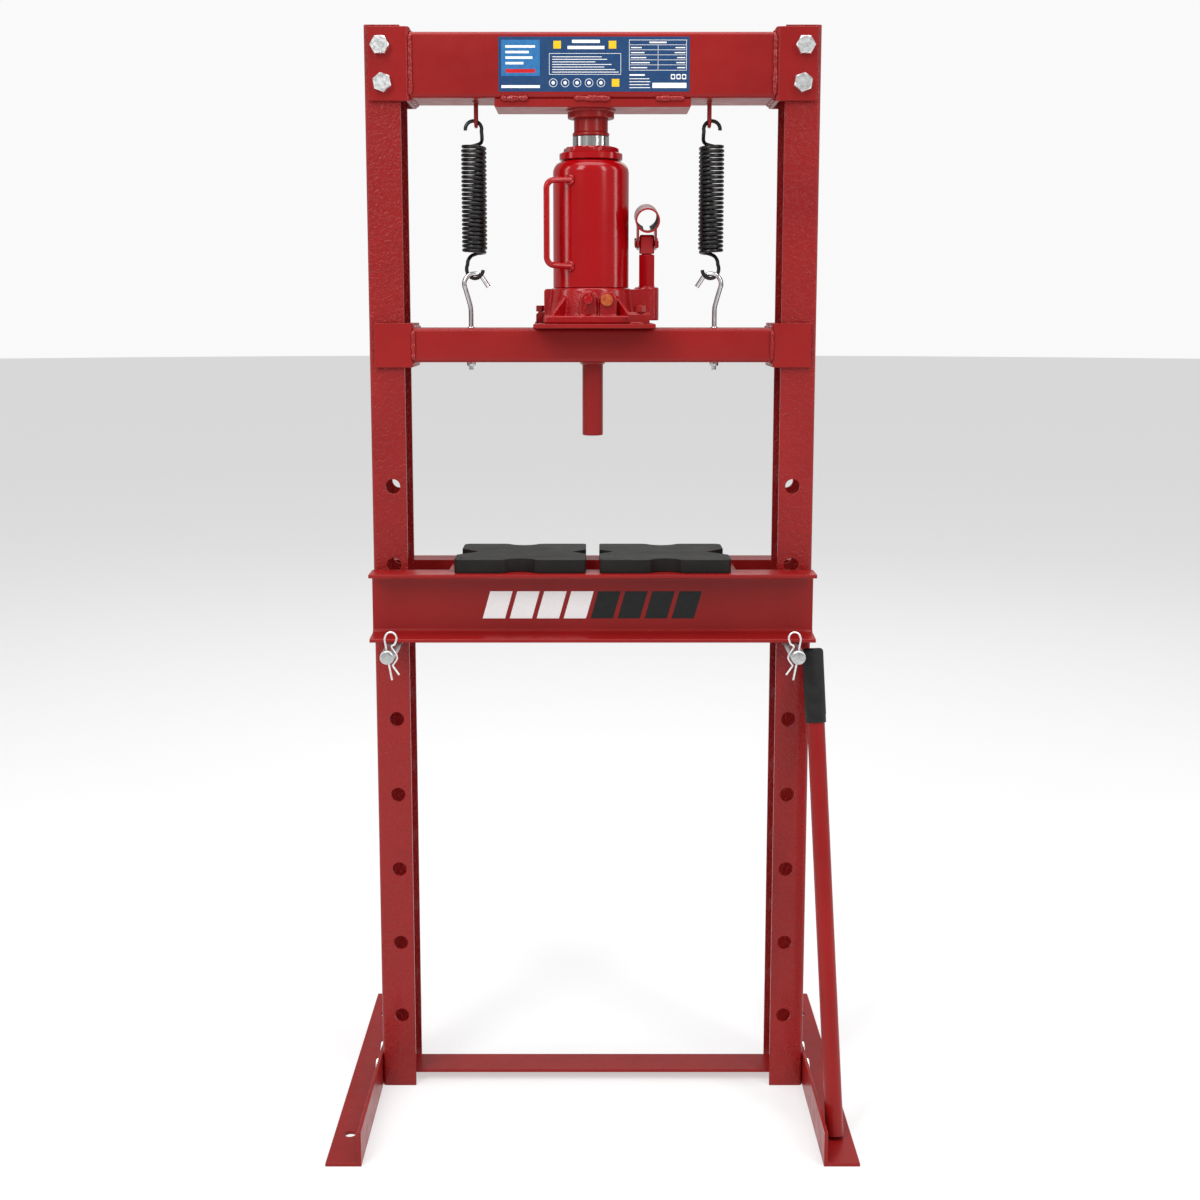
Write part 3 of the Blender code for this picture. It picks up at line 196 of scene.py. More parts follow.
def make_materials():
    frame_red = (0.228, 0.0066, 0.0066), (0.282, 0.0095, 0.0088)
    jack_red = (0.30, 0.0004, 0.0022), (0.36, 0.0012, 0.0036)
    cast_red = (0.29, 0.0004, 0.0022), (0.36, 0.002, 0.0045)
    weld_red = (0.225, 0.006, 0.007), (0.29, 0.010, 0.010)
    enamel("frame_paint", *frame_red, (0.30, 0.42), peel=0.6, lumps=0.35, coat=0.12)
    post = enamel("post_paint", *frame_red, (0.26, 0.38), peel=0.5, lumps=0.35, coat=0.25)
    post.relief(post.noise(210, 2, distortion=1.0), 1.0, 1.8)
    enamel("jack_paint", *jack_red, (0.14, 0.22), peel=0.10, lumps=0.06, coat=0.35)
    cast = enamel("cast_paint", *cast_red, (0.18, 0.3), peel=0.25, lumps=0.3, coat=0.5)
    cast.relief(cast.noise(300, 3, distortion=0.8), 0.8, 0.8)
    enamel("weld_paint", *weld_red, (0.2, 0.32), peel=0.3, lumps=0.4, coat=0.4)
    enamel("jack_weld_paint", *cast_red, (0.18, 0.3), peel=0.3, lumps=0.4, coat=0.5)
    plated("zinc_plate", (0.76, 0.77, 0.77), (0.88, 0.89, 0.89), (0.26, 0.42), 320, (1, 1, 1))
    plated("pin_zinc", (0.42, 0.43, 0.43), (0.60, 0.61, 0.61), (0.3, 0.45), 320, (1, 1, 1))
    plated("bright_chrome", (0.60, 0.61, 0.62), (0.78, 0.79, 0.80), (0.13, 0.25), 300, (1, 1, 0.25))
    plated("ground_steel", (0.46, 0.46, 0.46), (0.66, 0.66, 0.65), (0.12, 0.24), 900, (1, 1, 0.02))
    plated("machined_steel", (0.33, 0.33, 0.33), (0.50, 0.50, 0.49), (0.28, 0.42), 500, (1, 1, 0.1))

    black = Surface("spring_black", Specular_IOR_Level=0.35, Coat_Weight=0.1, Coat_Roughness=0.2)
    tone = black.noise(160, 3)
    black.colour(black.ramp(tone, (0.35, (0.004, 0.004, 0.004)), (0.7, (0.010, 0.010, 0.0095))))
    black.rough(black.spread(black.noise(240, 3), 0.26, 0.44))
    black.relief(black.noise(1500, 2), 0.2, 0.05)
    MATERIALS["spring_black"] = black.material

    plate = Surface("plate_black", Specular_IOR_Level=0.2)
    cloud = plate.noise(30, 4)
    fine = plate.noise(700, 3, (1, 0.15, 1))
    share = plate.spread(cloud, 0.1, 0.7)
    rolled = plate.ramp(fine, (0.3, (0.006, 0.0055, 0.005)), (0.7, (0.013, 0.012, 0.0105)))
    scaled = plate.ramp(cloud, (0.3, (0.007, 0.0065, 0.006)), (0.7, (0.019, 0.0175, 0.0155)))
    plate.colour(plate.mixed(share, rolled, scaled))
    plate.rough(plate.spread(cloud, 0.5, 0.62))
    plate.relief(plate.noise(160, 3), 0.2, 0.3)
    plate.relief(fine, 0.25, 0.08)
    MATERIALS["plate_black"] = plate.material

    brass = Surface("brass_plug", Metallic=0.25, Coat_Weight=0.3, Coat_Roughness=0.2)
    patches = brass.noise(210, 4)
    brass.colour(brass.ramp(patches, (0.36, (0.36, 0.035, 0.008)), (0.55, (0.50, 0.095, 0.014)),
                            (0.7, (0.56, 0.17, 0.025))))
    brass.rough(brass.spread(patches, 0.28, 0.45))
    brass.relief(brass.noise(600, 2), 0.3, 0.1)
    MATERIALS["brass_plug"] = brass.material

    rubber = Surface("grip_rubber", Specular_IOR_Level=0.22)
    skin = rubber.noise(90, 4)
    rubber.colour(rubber.ramp(skin, (0.3, (0.009, 0.0087, 0.0083)), (0.7, (0.019, 0.0185, 0.018))))
    rubber.rough(rubber.spread(skin, 0.48, 0.62))
    rubber.relief(rubber.noise(1400, 2), 0.5, 0.06)
    rubber.relief(skin, 0.15, 0.5)
    MATERIALS["grip_rubber"] = rubber.material

    bore = Surface("raw_bore", Specular_IOR_Level=0.15)
    rust = bore.noise(220, 4)
    bore.colour(bore.ramp(rust, (0.35, (0.055, 0.043, 0.037)), (0.7, (0.125, 0.10, 0.09))))
    bore.rough(bore.spread(rust, 0.6, 0.75))
    bore.relief(rust, 0.3, 0.2)
    MATERIALS["raw_bore"] = bore.material

    for name, dark, light in (("label_blue", (0.010, 0.045, 0.13), (0.014, 0.055, 0.15)),
                              ("label_sky", (0.02, 0.13, 0.33), (0.03, 0.17, 0.40)),
                              ("label_red", (0.48, 0.008, 0.012), (0.58, 0.015, 0.02)),
                              ("label_yellow", (0.80, 0.47, 0.01), (0.86, 0.54, 0.02)),
                              ("label_white", (0.84, 0.845, 0.85), (0.88, 0.88, 0.88)),
                              ("label_black", (0.006, 0.006, 0.006), (0.010, 0.010, 0.010))):
        film = Surface(name, Coat_Weight=0.1, Coat_Roughness=0.25, Specular_IOR_Level=0.25)
        film.colour(film.ramp(film.noise(240, 3), (0.3, dark), (0.7, light)))
        film.rough(film.spread(film.noise(90, 3), 0.32, 0.45))
        film.relief(film.noise(60, 2), 0.12, 0.15)
        MATERIALS[name] = film.material


# ---------------------------------------------------------------- mesh tools


def finished(name, data, material, smooth=35, ease=0.0):
    """Turns a bmesh in millimetres into an object in metres, and eases its edges by `ease` millimetres."""
    bmesh.ops.scale(data, vec=(MM, MM, MM), verts=data.verts)
    bmesh.ops.recalc_face_normals(data, faces=data.faces)
    mesh = bpy.data.meshes.new(name)
    data.to_mesh(mesh)
    data.free()
    mesh.materials.append(MATERIALS[material])
    mesh.shade_smooth()
    mesh.set_sharp_from_angle(angle=math.radians(smooth))
    obj = bpy.data.objects.new(name, mesh)
    bpy.context.scene.collection.objects.link(obj)
    if ease:
        eased(obj, ease)
    return obj


def eased(obj, width):
    for edge in obj.data.edges:
        edge.use_edge_sharp = False
    bevel = obj.modifiers.new("eased", "BEVEL")
    bevel.width, bevel.segments = width * MM, 2
    bevel.limit_method, bevel.angle_limit = "ANGLE", EASED_ANGLE
    bevel.harden_normals = True
    bevel.use_clamp_overlap = True
    return obj


def add_loft(data, rings, closed=False, caps=True):
    """Skins neighbouring rings of equal length. It caps the ends, or joins last to first when closed."""
    loops = [[data.verts.new(point) for point in ring] for ring in rings]
    pairs = list(zip(loops, loops[1:]))
    if closed:
        pairs.append((loops[-1], loops[0]))
    elif caps:
        data.faces.new(loops[0])
        data.faces.new(loops[-1])
    for lower, upper in pairs:
        for i in range(len(lower)):
            data.faces.new((lower[i - 1], lower[i], upper[i], upper[i - 1]))


def loft(name, rings, material, closed=False, **looks):
    data = bmesh.new()
    add_loft(data, rings, closed)
    return finished(name, data, material, **looks)


def stack(place, levels):
    """Rings from (height, outline) levels, which stand along the place's local Z."""
    return [[place @ Vector((a, b, height)) for a, b in outline] for height, outline in levels]


def circle(radius, sides=64):
    turns = [2 * math.pi * i / sides for i in range(sides)]
    return [(radius * math.cos(turn), radius * math.sin(turn)) for turn in turns]


def hexagon(flats, reach=math.inf, turn=0.0, sides=48):
    """A hexagon across `flats`, with its corners cut back to `reach` from the axis."""
    points = []
    for i in range(sides):
        angle = 360 * i / sides
        length = min(reach, flats / 2 / math.cos(math.radians((angle + 30) % 60 - 30)))
        way = math.radians(angle + turn)
        points.append((length * math.cos(way), length * math.sin(way)))
    return points


def arc(centre, radius, start, end, steps):
    turns = [math.radians(start + (end - start) * i / steps) for i in range(steps + 1)]
    return [(centre[0] + radius * math.cos(t), centre[1] + radius * math.sin(t)) for t in turns]


def rounded_rectangle(low, high, radius, steps=8):
    corners = ((high[0], high[1], 0), (low[0], high[1], 90), (low[0], low[1], 180), (high[0], low[1], 270))
    points = []
    for x, y, start in corners:
        inward = (-1 if x == high[0] else 1, -1 if y == high[1] else 1)
        points += arc((x + inward[0] * radius, y + inward[1] * radius), radius, start, start + 90, steps)
    return points


def mirrored(outline, side):
    return [(side * a, b) for a, b in outline]


def bar(name, place, outline, start, end, material, **looks):
    return loft(name, stack(place, [(start, outline), (end, outline)]), material, **looks)


def box(name, low, high, material, ease):
    outline = [(low[0], low[1]), (high[0], low[1]), (high[0], high[1]), (low[0], high[1])]
    return bar(name, ALONG_Z, outline, low[2], high[2], material, ease=ease)


def turned(name, place, profile, material, sides=64, closed=False, **looks):
    """A solid of revolution from (radius, height) points along the place's local Z."""
    return loft(name, stack(place, [(z, circle(r, sides)) for r, z in profile]), material, closed, **looks)


def smooth_path(points, steps):
    """Points on a smooth curve through the given ones."""
    points = [Vector(point) for point in points]
    points = [2 * points[0] - points[1], *points, 2 * points[-1] - points[-2]]
    path = []
    for a, b, c, d in zip(points, points[1:], points[2:], points[3:]):
        for i in range(steps):
            t = i / steps
            path.append(0.5 * (2 * b + (c - a) * t + (2 * a - 5 * b + 4 * c - d) * t**2
                               + (3 * b - a - 3 * c + d) * t**3))
    return path + [points[-2]]


def sweep_rings(path, radius, sides):
    """Circles square to a path. `radius` is a number or a function of the point's index."""
    path = [Vector(point) for point in path]
    last = len(path) - 1
    tangents = [(path[min(i + 1, last)] - path[max(i - 1, 0)]).normalized() for i in range(last + 1)]
    across = tangents[0].orthogonal().normalized()
    rings = []
    for i, point in enumerate(path):
        if i:
            across = tangents[i - 1].rotation_difference(tangents[i]) @ across
        other = tangents[i].cross(across)
        size = radius(i) if callable(radius) else radius
        rings.append([point + across * a + other * b for a, b in circle(size, sides)])
    return rings


def rod(name, path, radius, material, sides=14, chamfer=0.0):
    rings = sweep_rings(path, radius, sides)
    if chamfer:
        for end, inner in ((0, 1), (-1, -2)):
            middle = sum(rings[end], Vector()) / sides
            inward = (sum(rings[inner], Vector()) / sides - middle).normalized() * chamfer
            tip = [middle + (point - middle) * (1 - chamfer / radius) for point in rings[end]]
            body = [point + inward for point in rings[end]]
            rings = [tip, body, *rings[1:]] if end == 0 else [*rings[:-1], body, tip]
    return loft(name, rings, material)


def along_line(start, end, spacing=1.1):
    start, end = Vector(start), Vector(end)
    count = max(2, round((end - start).length / spacing))
    return [start.lerp(end, i / count) for i in range(count + 1)]


def add_weld(data, path, radius, seed):
    """A bead with the ripples and uneven width that a welder leaves."""
    spacing = (Vector(path[1]) - Vector(path[0])).length

    def size(i):
        ends = min(1, 0.35 + 0.4 * min(i, len(path) - 1 - i))
        wobble = 0.28 * noise.noise((i * spacing * 0.16, seed, 0.5))
        return radius * ends * (1 + wobble + 0.10 * math.sin(i * spacing * 2.4))

    drifts = [noise.noise_vector((i * spacing * 0.3, seed, 3)) for i in range(len(path))]
    wander = [Vector(point) + 0.22 * radius * drift for point, drift in zip(path, drifts)]
    add_loft(data, sweep_rings(wander, size, 10))


def welds(name, node, material, beads):
    """One object with several (path, radius) beads. It rides with the node that it belongs to."""
    data = bmesh.new()
    for number, (path, radius) in enumerate(beads):
        add_weld(data, path, radius, number + len(name))
    obj = finished(name, data, material, smooth=60)
    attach(obj, BODY_OF[node])


def ring_path(centre, radius, sides, normal=ALONG_Z):
    place = Matrix.Translation(centre) @ normal
    return [place @ Vector((a, b, 0)) for a, b in arc((0, 0), radius, 0, 360, sides)]


def booleaned(obj, helpers, operation="DIFFERENCE"):
    """Applies Booleans with the helpers, then removes them."""
    for helper in helpers:
        modifier = obj.modifiers.new("cut", "BOOLEAN")
        modifier.operation, modifier.solver, modifier.object = operation, "EXACT", helper
    graph = bpy.context.evaluated_depsgraph_get()
    mesh = bpy.data.meshes.new_from_object(obj.evaluated_get(graph))
    obj.modifiers.clear()
    obj.data = mesh
    mesh.shade_smooth()
    mesh.set_sharp_from_angle(angle=SHARP_ANGLE)
    for helper in helpers:
        bpy.data.objects.remove(helper)


def drilled(obj, place, centres, radius, start, end, sides=40):
    data = bmesh.new()
    for x, y in centres:
        outline = [(x + a, y + b) for a, b in circle(radius, sides)]
        add_loft(data, stack(place, [(start, outline), (end, outline)]))
    booleaned(obj, [finished(obj.name + "_drill", data, "frame_paint")])


def stands_for(obj, *nodes):
    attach(obj, BODY_OF[nodes[0]])
    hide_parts(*nodes)


def kept(node, width, material=None):
    """The CAD node's own shape, cleaned of its triangles' edges and with its corners eased."""
    data = bmesh.new()
    data.from_mesh(frame["nodes"][node].data)
    bmesh.ops.remove_doubles(data, verts=data.verts, dist=1e-5)
    bmesh.ops.dissolve_limit(data, angle_limit=math.radians(1), verts=data.verts, edges=data.edges)
    bmesh.ops.scale(data, vec=(1 / MM, 1 / MM, 1 / MM), verts=data.verts)
    obj = finished("fine_" + node, data, material or SLOT_OF[node], ease=width)
    stands_for(obj, node)


# ---------------------------------------------------------------- frame


def fine_post(label, side):
    outline = [(215, -35), *arc((251, -31), 4, -90, 0, 6), *arc((251, 31), 4, 0, 90, 6), (215, 35), (215, 31)]
    outline += [*arc((249.5, 29.5), 1.5, 90, 0, 3), *arc((249.5, -29.5), 1.5, 0, -90, 3), (215, -31)]
    post = bar(f"fine_{label}_post", ALONG_Z, mirrored(outline, side), 0, POST_HEIGHT, "post_paint")
    holes = [(side * POST_X, LOWEST_HOLE + HOLE_PITCH * i) for i in range(HOLE_COUNT)]
    drilled(post, ALONG_Y, holes, 8.5, -50, 50)
    stands_for(eased(post, 0.7), label + "_post")


def fine_foot(label, side):
    outline = [(255.3, 0), (295.3, 0), *arc((294.3, 3), 1, 0, 90, 3), *arc((261.3, 6), 2, 270, 180, 4)]
    outline += [*arc((258.3, 39), 1, 0, 90, 3), (255.3, 40)]
    foot = bar(f"fine_{label}_foot", ALONG_Y, mirrored(outline, side), -225, 225, "frame_paint")
    drilled(foot, ALONG_Z, [(side * 277, -160), (side * 277, 160)], 6.5, -5, 10)
    stands_for(eased(foot, 0.5), label + "_foot")


def threaded(place, start, end, radius, pitch, sides=24):
    """Rings with a screw thread along the place's local Z."""
    steps = 5
    count = max(2, round((end - start) / pitch * steps))
    rings = []
    for level in range(count + 1):
        z = start + (end - start) * level / count
        ring = []
        for i in range(sides):
            phase = (z / pitch - i / sides) % 1
            size = radius - 0.55 * pitch * abs(2 * phase - 1) * (0 < level < count)
            turn = 2 * math.pi * i / sides
            ring.append(place @ Vector((size * math.cos(turn), size * math.sin(turn), z)))
        rings.append(ring)
    return rings


def hex_levels(base, top, flats, turn, both=False):
    """Levels of a hexagon with the round chamfer of a bolt head at `top`, and at `base` too for a nut."""
    height = top - base
    way = 1 if height > 0 else -1
    cone = [(0.0, 0.470), (0.02, 0.485), (0.055, 0.525), (0.10, 0.580)]
    start = [(base, hexagon(flats, turn=turn))]
    if both:
        start = [(base + way * d * flats, hexagon(flats, r * flats, turn)) for d, r in cone]
    return start + [(top - way * d * flats, hexagon(flats, r * flats, turn)) for d, r in reversed(cone)]


def fine_bolt(node, place, head, grip, nut, flats, radius, turn):
    """A hex bolt whose head stands out to local -Z, with its nut and threaded tip at the other end."""
    data = bmesh.new()
    add_loft(data, stack(place, hex_levels(0, -head, flats, turn)))
    add_loft(data, stack(place, [(-0.5, circle(radius, 24)), (grip, circle(radius, 24))]))
    if nut:
        add_loft(data, stack(place, hex_levels(grip, grip + nut, flats, turn, both=True)))
        add_loft(data, threaded(place, grip + nut - 0.5, grip + radius * 1.6, radius - 0.1, radius * 0.28))
    stands_for(finished("fine_" + node, data, SLOT_OF[node], smooth=25), node)


def fine_strap(node, side, x, z, half):
    """A strap bent round a post: x and z are its ranges, and `half` is half of the room inside it."""
    outside = half + 5
    outer = [*arc((x[0] + 5, -outside + 5), 5, 270, 180, 7), *arc((x[0] + 5, outside - 5), 5, 180, 90, 7)]
    inner = [*arc((x[0] + 6, half - 1), 1, 90, 180, 2), *arc((x[0] + 6, 1 - half), 1, 180, 270, 2)]
    outline = [(x[1], -outside), *outer, (x[1], outside), (x[1], half), *inner, (x[1], -half)]
    strap = bar("fine_" + node, ALONG_Z, mirrored(outline, side), *z, "frame_paint", ease=0.8)
    stands_for(strap, node)


def fine_tube_beam(node, half_length, z):
    outer = rounded_rectangle((-38, z[0]), (38, z[1]), 5)
    inner = rounded_rectangle((-34, z[0] + 4), (34, z[1] - 4), 1.5)
    levels = [(-half_length, outer), (half_length, outer), (half_length, inner), (-half_length, inner)]
    stands_for(loft("fine_" + node, stack(ALONG_X, levels), "frame_paint", closed=True), node)


def beam_welds(name, node, x, z):
    """Beads where a beam's end meets the straps at its two ends."""
    beads = []
    for side in SIDES.values():
        for end in SIDES.values():
            low, high = [(side * x, end * 38.6, height) for height in (z[0] + 3, z[1] - 3)]
            beads.append((along_line(low, high), 2.6))
        for height in z:
            beads.append((along_line((side * x, -33, height), (side * x, 33, height)), 2.2))
    welds(name, node, "weld_paint", beads)


def make_frame():
    for label, side in SIDES.items():
        fine_post(label, side)
        fine_foot(label, side)
        fine_strap(label + "_top_collar", side, (204, 250), (1167, 1247.5), 35.3)
        for height, x, z, turn in (("upper", 236, 1227, 0), ("lower", 234, 1186.5, 20)):
            place = Matrix.Translation((side * x, -40.6, z)) @ ALONG_Y
            fine_bolt(f"{label}_{height}_top_bolt", place, 7.5, 81.2, 10, 19, 6, 30 + side * turn)
        for end_label, end in (("front", -1), ("rear", 1)):
            place = Matrix.Translation((side * 259.6, end * 23, 21.5)) @ ALONG_X
            place = place @ Matrix.Diagonal((1, 1, -side, 1))
            fine_bolt(f"{label}_{end_label}_foot_bolt", place, 5.3, 8.9, 6, 13, 4, 0)
        bend = arc((0, 1151), 8, 180, 360, 20)
        path = [(side * EYE_X, y, z) for y, z in [(-8, 1170.1), *bend, (8, 1170.1)]]
        stands_for(rod(f"fine_{label}_spring_eye", path, 2, "frame_paint"), label + "_spring_eye")
        welds(f"{label}_eye_welds", label + "_spring_eye", "weld_paint",
              [(ring_path((side * EYE_X, y, 1169.9), 1.9, 16), 1.2) for y in (-8, 8)])
    crossbar = box("fine_lower_crossbar", (-250.7, -21, 10), (250.7, 21, 14), "frame_paint", 0.6)
    stands_for(crossbar, "lower_crossbar")
    edges = [(side * 250, z) for side in SIDES.values() for z in (10, 14)]
    welds("crossbar_welds", "lower_crossbar", "weld_paint",
          [(along_line((x, -21, z), (x, 21, z)), 2) for x, z in edges])
    fine_tube_beam("top_beam", 203.7, TOP_BEAM_Z)
    beam_welds("top_beam_welds", "top_beam", 203.2, TOP_BEAM_Z)
    pad = box("fine_ram_pad_plate", (-110, -36, 1160.7), (110, 36, 1170.1), "frame_paint", 1.4)
    stands_for(pad, "ram_pad_plate")
    runs = ((-103, -72), (-21, 20), (70, 103))
    welds("pad_plate_welds", "ram_pad_plate", "weld_paint",
          [(along_line((low, end * 36.2, 1170), (high, end * 36.2, 1170), 1.2), 3.4)
           for end in SIDES.values() for low, high in runs])
    profile = [(20.4, 1151.4), (25.8, 1151.4), (26.5, 1152.1), (26.5, 1160.4), (20.4, 1160.4)]
    stands_for(turned("fine_ram_cup", JACK, profile, "frame_paint", closed=True), "ram_cup")
    welds("cup_weld", "ram_cup", "weld_paint", [(ring_path((JACK_X, 0, 1160.2), 26.6, 120), 1.8)])


# ---------------------------------------------------------------- label and stripes


def decals(name, body, face_y, layers):
    """Thin films on a face that looks to the front. Each layer is (material, height above it, polygons)."""
    for material, lift, polygons in layers:
        data = bmesh.new()
        for polygon in polygons:
            add_loft(data, stack(ALONG_Y, [(face_y + 0.05, polygon), (face_y - lift, polygon)]))
        obj = finished(f"{name}_{material}", data, material)
        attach(obj, body)


def rectangle(x, z, width, height):
    return [(x, z), (x + width, z), (x + width, z + height), (x, z + height)]


def outline_box(x, z, width, height, line=0.45):
    return [rectangle(x, z, width, line), rectangle(x, z + height - line, width, line),
            rectangle(x, z + line, line, height - 2 * line),
            rectangle(x + width - line, z + line, line, height - 2 * line)]


def disc(x, z, radius):
    return [(x + a, z + b) for a, b in circle(radius, 28)]


def make_label():
    """A plain information plate: squares, bars, dots and a ruled table, with no writing or signs."""
    dots = [(-44 + 13.3 * i, 1186.6) for i in range(5)]
    small_dots = [89.4 + 6.2 * i for i in range(3)]
    sky = [rectangle(-101.8, 1194, 43, 39)]
    red = [rectangle(-97, 1197.5, 33, 4)]
    yellow = [rectangle(x, z, 8.4, 8.4) for x, z in ((-43.7, 1223.5), (17.8, 1223.5), (21.3, 1182.4))]
    white = [rectangle(-97, 1224.5 - 6 * i, width, 2.6) for i, width in enumerate((33, 26, 30, 20))]
    white.append(rectangle(-101.8, 1181, 43, 3))
    white += [rectangle(-23, 1229.6, 31, 3.4), rectangle(-28, 1223, 41, 3.4)]
    white += outline_box(-48.5, 1195.5, 80, 23)
    widths = (55, 61, 48, 66, 58, 70, 74)
    white += [rectangle(-45, 1214.3 - 2.75 * i, width, 0.75) for i, width in enumerate(widths)]
    white += [disc(x, z, 4.6) for x, z in dots]
    white += outline_box(40.5, 1200, 64, 33)
    white += [rectangle(40.5, 1227.4 - 5.4 * i, 64, 0.4) for i in range(5)]
    white.append(rectangle(72.5, 1200, 0.4, 27.4))
    white.append(rectangle(63, 1229.4, 19, 1.6))
    for i, (left, right) in enumerate(((12, 11), (15, 12), (17, 9), (21, 10), (18, 9))):
        white.append(rectangle(42.5, 1224 - 5.4 * i, left, 1.1))
        white.append(rectangle(103 - right, 1224 - 5.4 * i, right, 1.1))
    white += [rectangle(41, 1194.2, 17, 1.7), rectangle(66.5, 1181, 38, 5.6)]
    white += [rectangle(41, 1190.6 - 3.2 * i, width, 0.8) for i, width in enumerate((22, 23, 22, 23))]
    white += [rounded_rectangle((87 + 6.2 * i, 1190.4), (91.8 + 6.2 * i, 1196), 1, 3) for i in range(3)]
    spots = [disc(x, z, 4.1) for x, z in dots] + [disc(x, 1193.2, 1.7) for x in small_dots]
    plate = rounded_rectangle((-105, 1177), (108, 1236.5), 0.8, 3)
    decals("label", "frame", BEAM_FRONT, [("label_blue", 0.20, [plate])])
    decals("label_marks", "frame", BEAM_FRONT,
           [("label_sky", 0.26, sky), ("label_red", 0.27, red), ("label_yellow", 0.27, yellow),
            ("label_white", 0.30, white)])
    decals("label_spots", "frame", BEAM_FRONT, [("label_blue", 0.34, spots)])
    decals("label_bars", "frame", BEAM_FRONT, [("label_white", 0.38, [disc(x, z, 1.9) for x, z in dots])])


def make_stripes():
    """Plain slanted bars on the front of the bed, light on the left and dark on the right."""
    bars = []
    for i in range(8):
        x = -128 + 31.4 * i
        bars.append([(x, 580.5), (x + 26, 580.5), (x + 35, 612.5), (x + 9, 612.5)])
    layers = [("label_white", 0.22, bars[:4]), ("label_black", 0.22, bars[4:])]
    decals("bed_stripes", "bed", BED_FRONT, layers)


# ---------------------------------------------------------------- springs and crosshead


def fine_spring(label, side):
    """A close coil with an open loop at each end. It stretches between the frame and the crosshead."""
    low, high, radius = 1000.9, 1121.6, 12.5
    turns, steps = 24.9, 26
    twist = math.radians(25)
    lower = [(a * math.cos(twist), a * math.sin(twist), b)
             for a, b in reversed(arc((0, 982.9), 10.9, 28, -173, 18))]
    lower += [(8.3, 3.4, 991.6), (6.7, 5.2, 995.2), (3.8, 7.9, 998.4)]
    count = round(turns * steps)
    coil = []
    for i in range(count + 1):
        turn = math.radians(105) + 2 * math.pi * i / steps
        size = radius * (1 - 0.12 * max(0, 1 - i / 14) - 0.08 * max(0, 1 - (count - i) / 10))
        coil.append((size * math.cos(turn), size * math.sin(turn), low + (high - low) * i / count))
    upper = [(-6.0, 8.4, 1124.4), (-9.3, 4.4, 1128.6)]
    upper += [(a, 0, b) for a, b in arc((0, 1140), 9.3, 194, -8, 16)]
    path = smooth_path([*lower, coil[0]], 2)[:-1] + coil + smooth_path([coil[-1], *upper], 2)[1:]
    path = [(side * (SPRING_X + a), b, z) for a, b, z in path]
    spring = rod(f"fine_{label}_return_spring", path, 2.15, "spring_black", 10, 0.4)
    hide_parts(label + "_return_spring")
    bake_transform(spring)


def fine_hook(label, side):
    """A straight shank with a nut under the beam, and an open curl that the spring's loop hangs in."""
    turn = math.radians(15)
    curl = [(0, 934), (0.8, 941), *arc((-4.5, 965.4), 12, -25, 150, 16), (-21, 962.4)]
    path = [(0, 868), (0, 900), (0, 925), *smooth_path(curl, 3)]
    centres = [(side * (HOOK_X + a * math.cos(turn)), -a * math.sin(turn), z) for a, z in path]
    data = bmesh.new()
    add_loft(data, sweep_rings(centres, 2.8, 16))
    place = Matrix.Translation((side * HOOK_X, 0, 0))
    add_loft(data, stack(place, hex_levels(871.3, 876.3, 10, 0, both=True)))
    add_loft(data, threaded(place, 867.3, 872, 2.95, 0.9))
    add_loft(data, stack(place, [(915.7, circle(4.4, 24)), (916.5, circle(4.2, 24))]))
    node = label + "_spring_hook"
    stands_for(finished("fine_" + node, data, "bright_chrome", smooth=40), node)


def make_crosshead():
    for label, side in SIDES.items():
        fine_spring(label, side)
        fine_hook(label, side)
        fine_strap(label + "_slide_collar", side, (205, 248.5), (871, 921), 36)
        kept(label + "_jack_clamp", 0.6, "frame_paint")
    fine_tube_beam("crosshead_beam", 204.7, SLIDE_BEAM_Z)
    beam_welds("crosshead_welds", "crosshead_beam", 204.4, SLIDE_BEAM_Z)
    seat = box("fine_jack_seat_plate", (-66, -86, 915.9), (70, 66, 920.7), "frame_paint", 0.8)
    stands_for(seat, "jack_seat_plate")
    beads = [((x, -37, 916.2), (x, 36, 916.2), 1.8) for x in (-66.2, 70.2)]
    beads.append(((41, -74.3, SEAT_TOP), (57, -74.3, SEAT_TOP), 2.1))
    beads.append(((-66, 13, SEAT_TOP), (-66, 33, SEAT_TOP), 1.6))
    welds("seat_plate_welds", "jack_seat_plate", "weld_paint",
          [(along_line(start, end), radius) for start, end, radius in beads])
    profile = [(11.2, 791), (12, 791.8), (12, 876.3)]
    stands_for(turned("fine_press_punch", ALONG_Z, profile, "frame_paint"), "press_punch")
    welds("punch_weld", "press_punch", "weld_paint", [(ring_path((0, 0, 875.6), 12.4, 60), 2.2)])
    for label, x, y in (("left", -61, 24), ("right", 54, -69)):
        place = Matrix.Translation((x, y, 934.1)) @ Matrix.Diagonal((1, 1, -1, 1))
        fine_bolt(label + "_clamp_bolt", place, 7, 12.8, 0, 10, 3, 10)


# ---------------------------------------------------------------- bottle jack


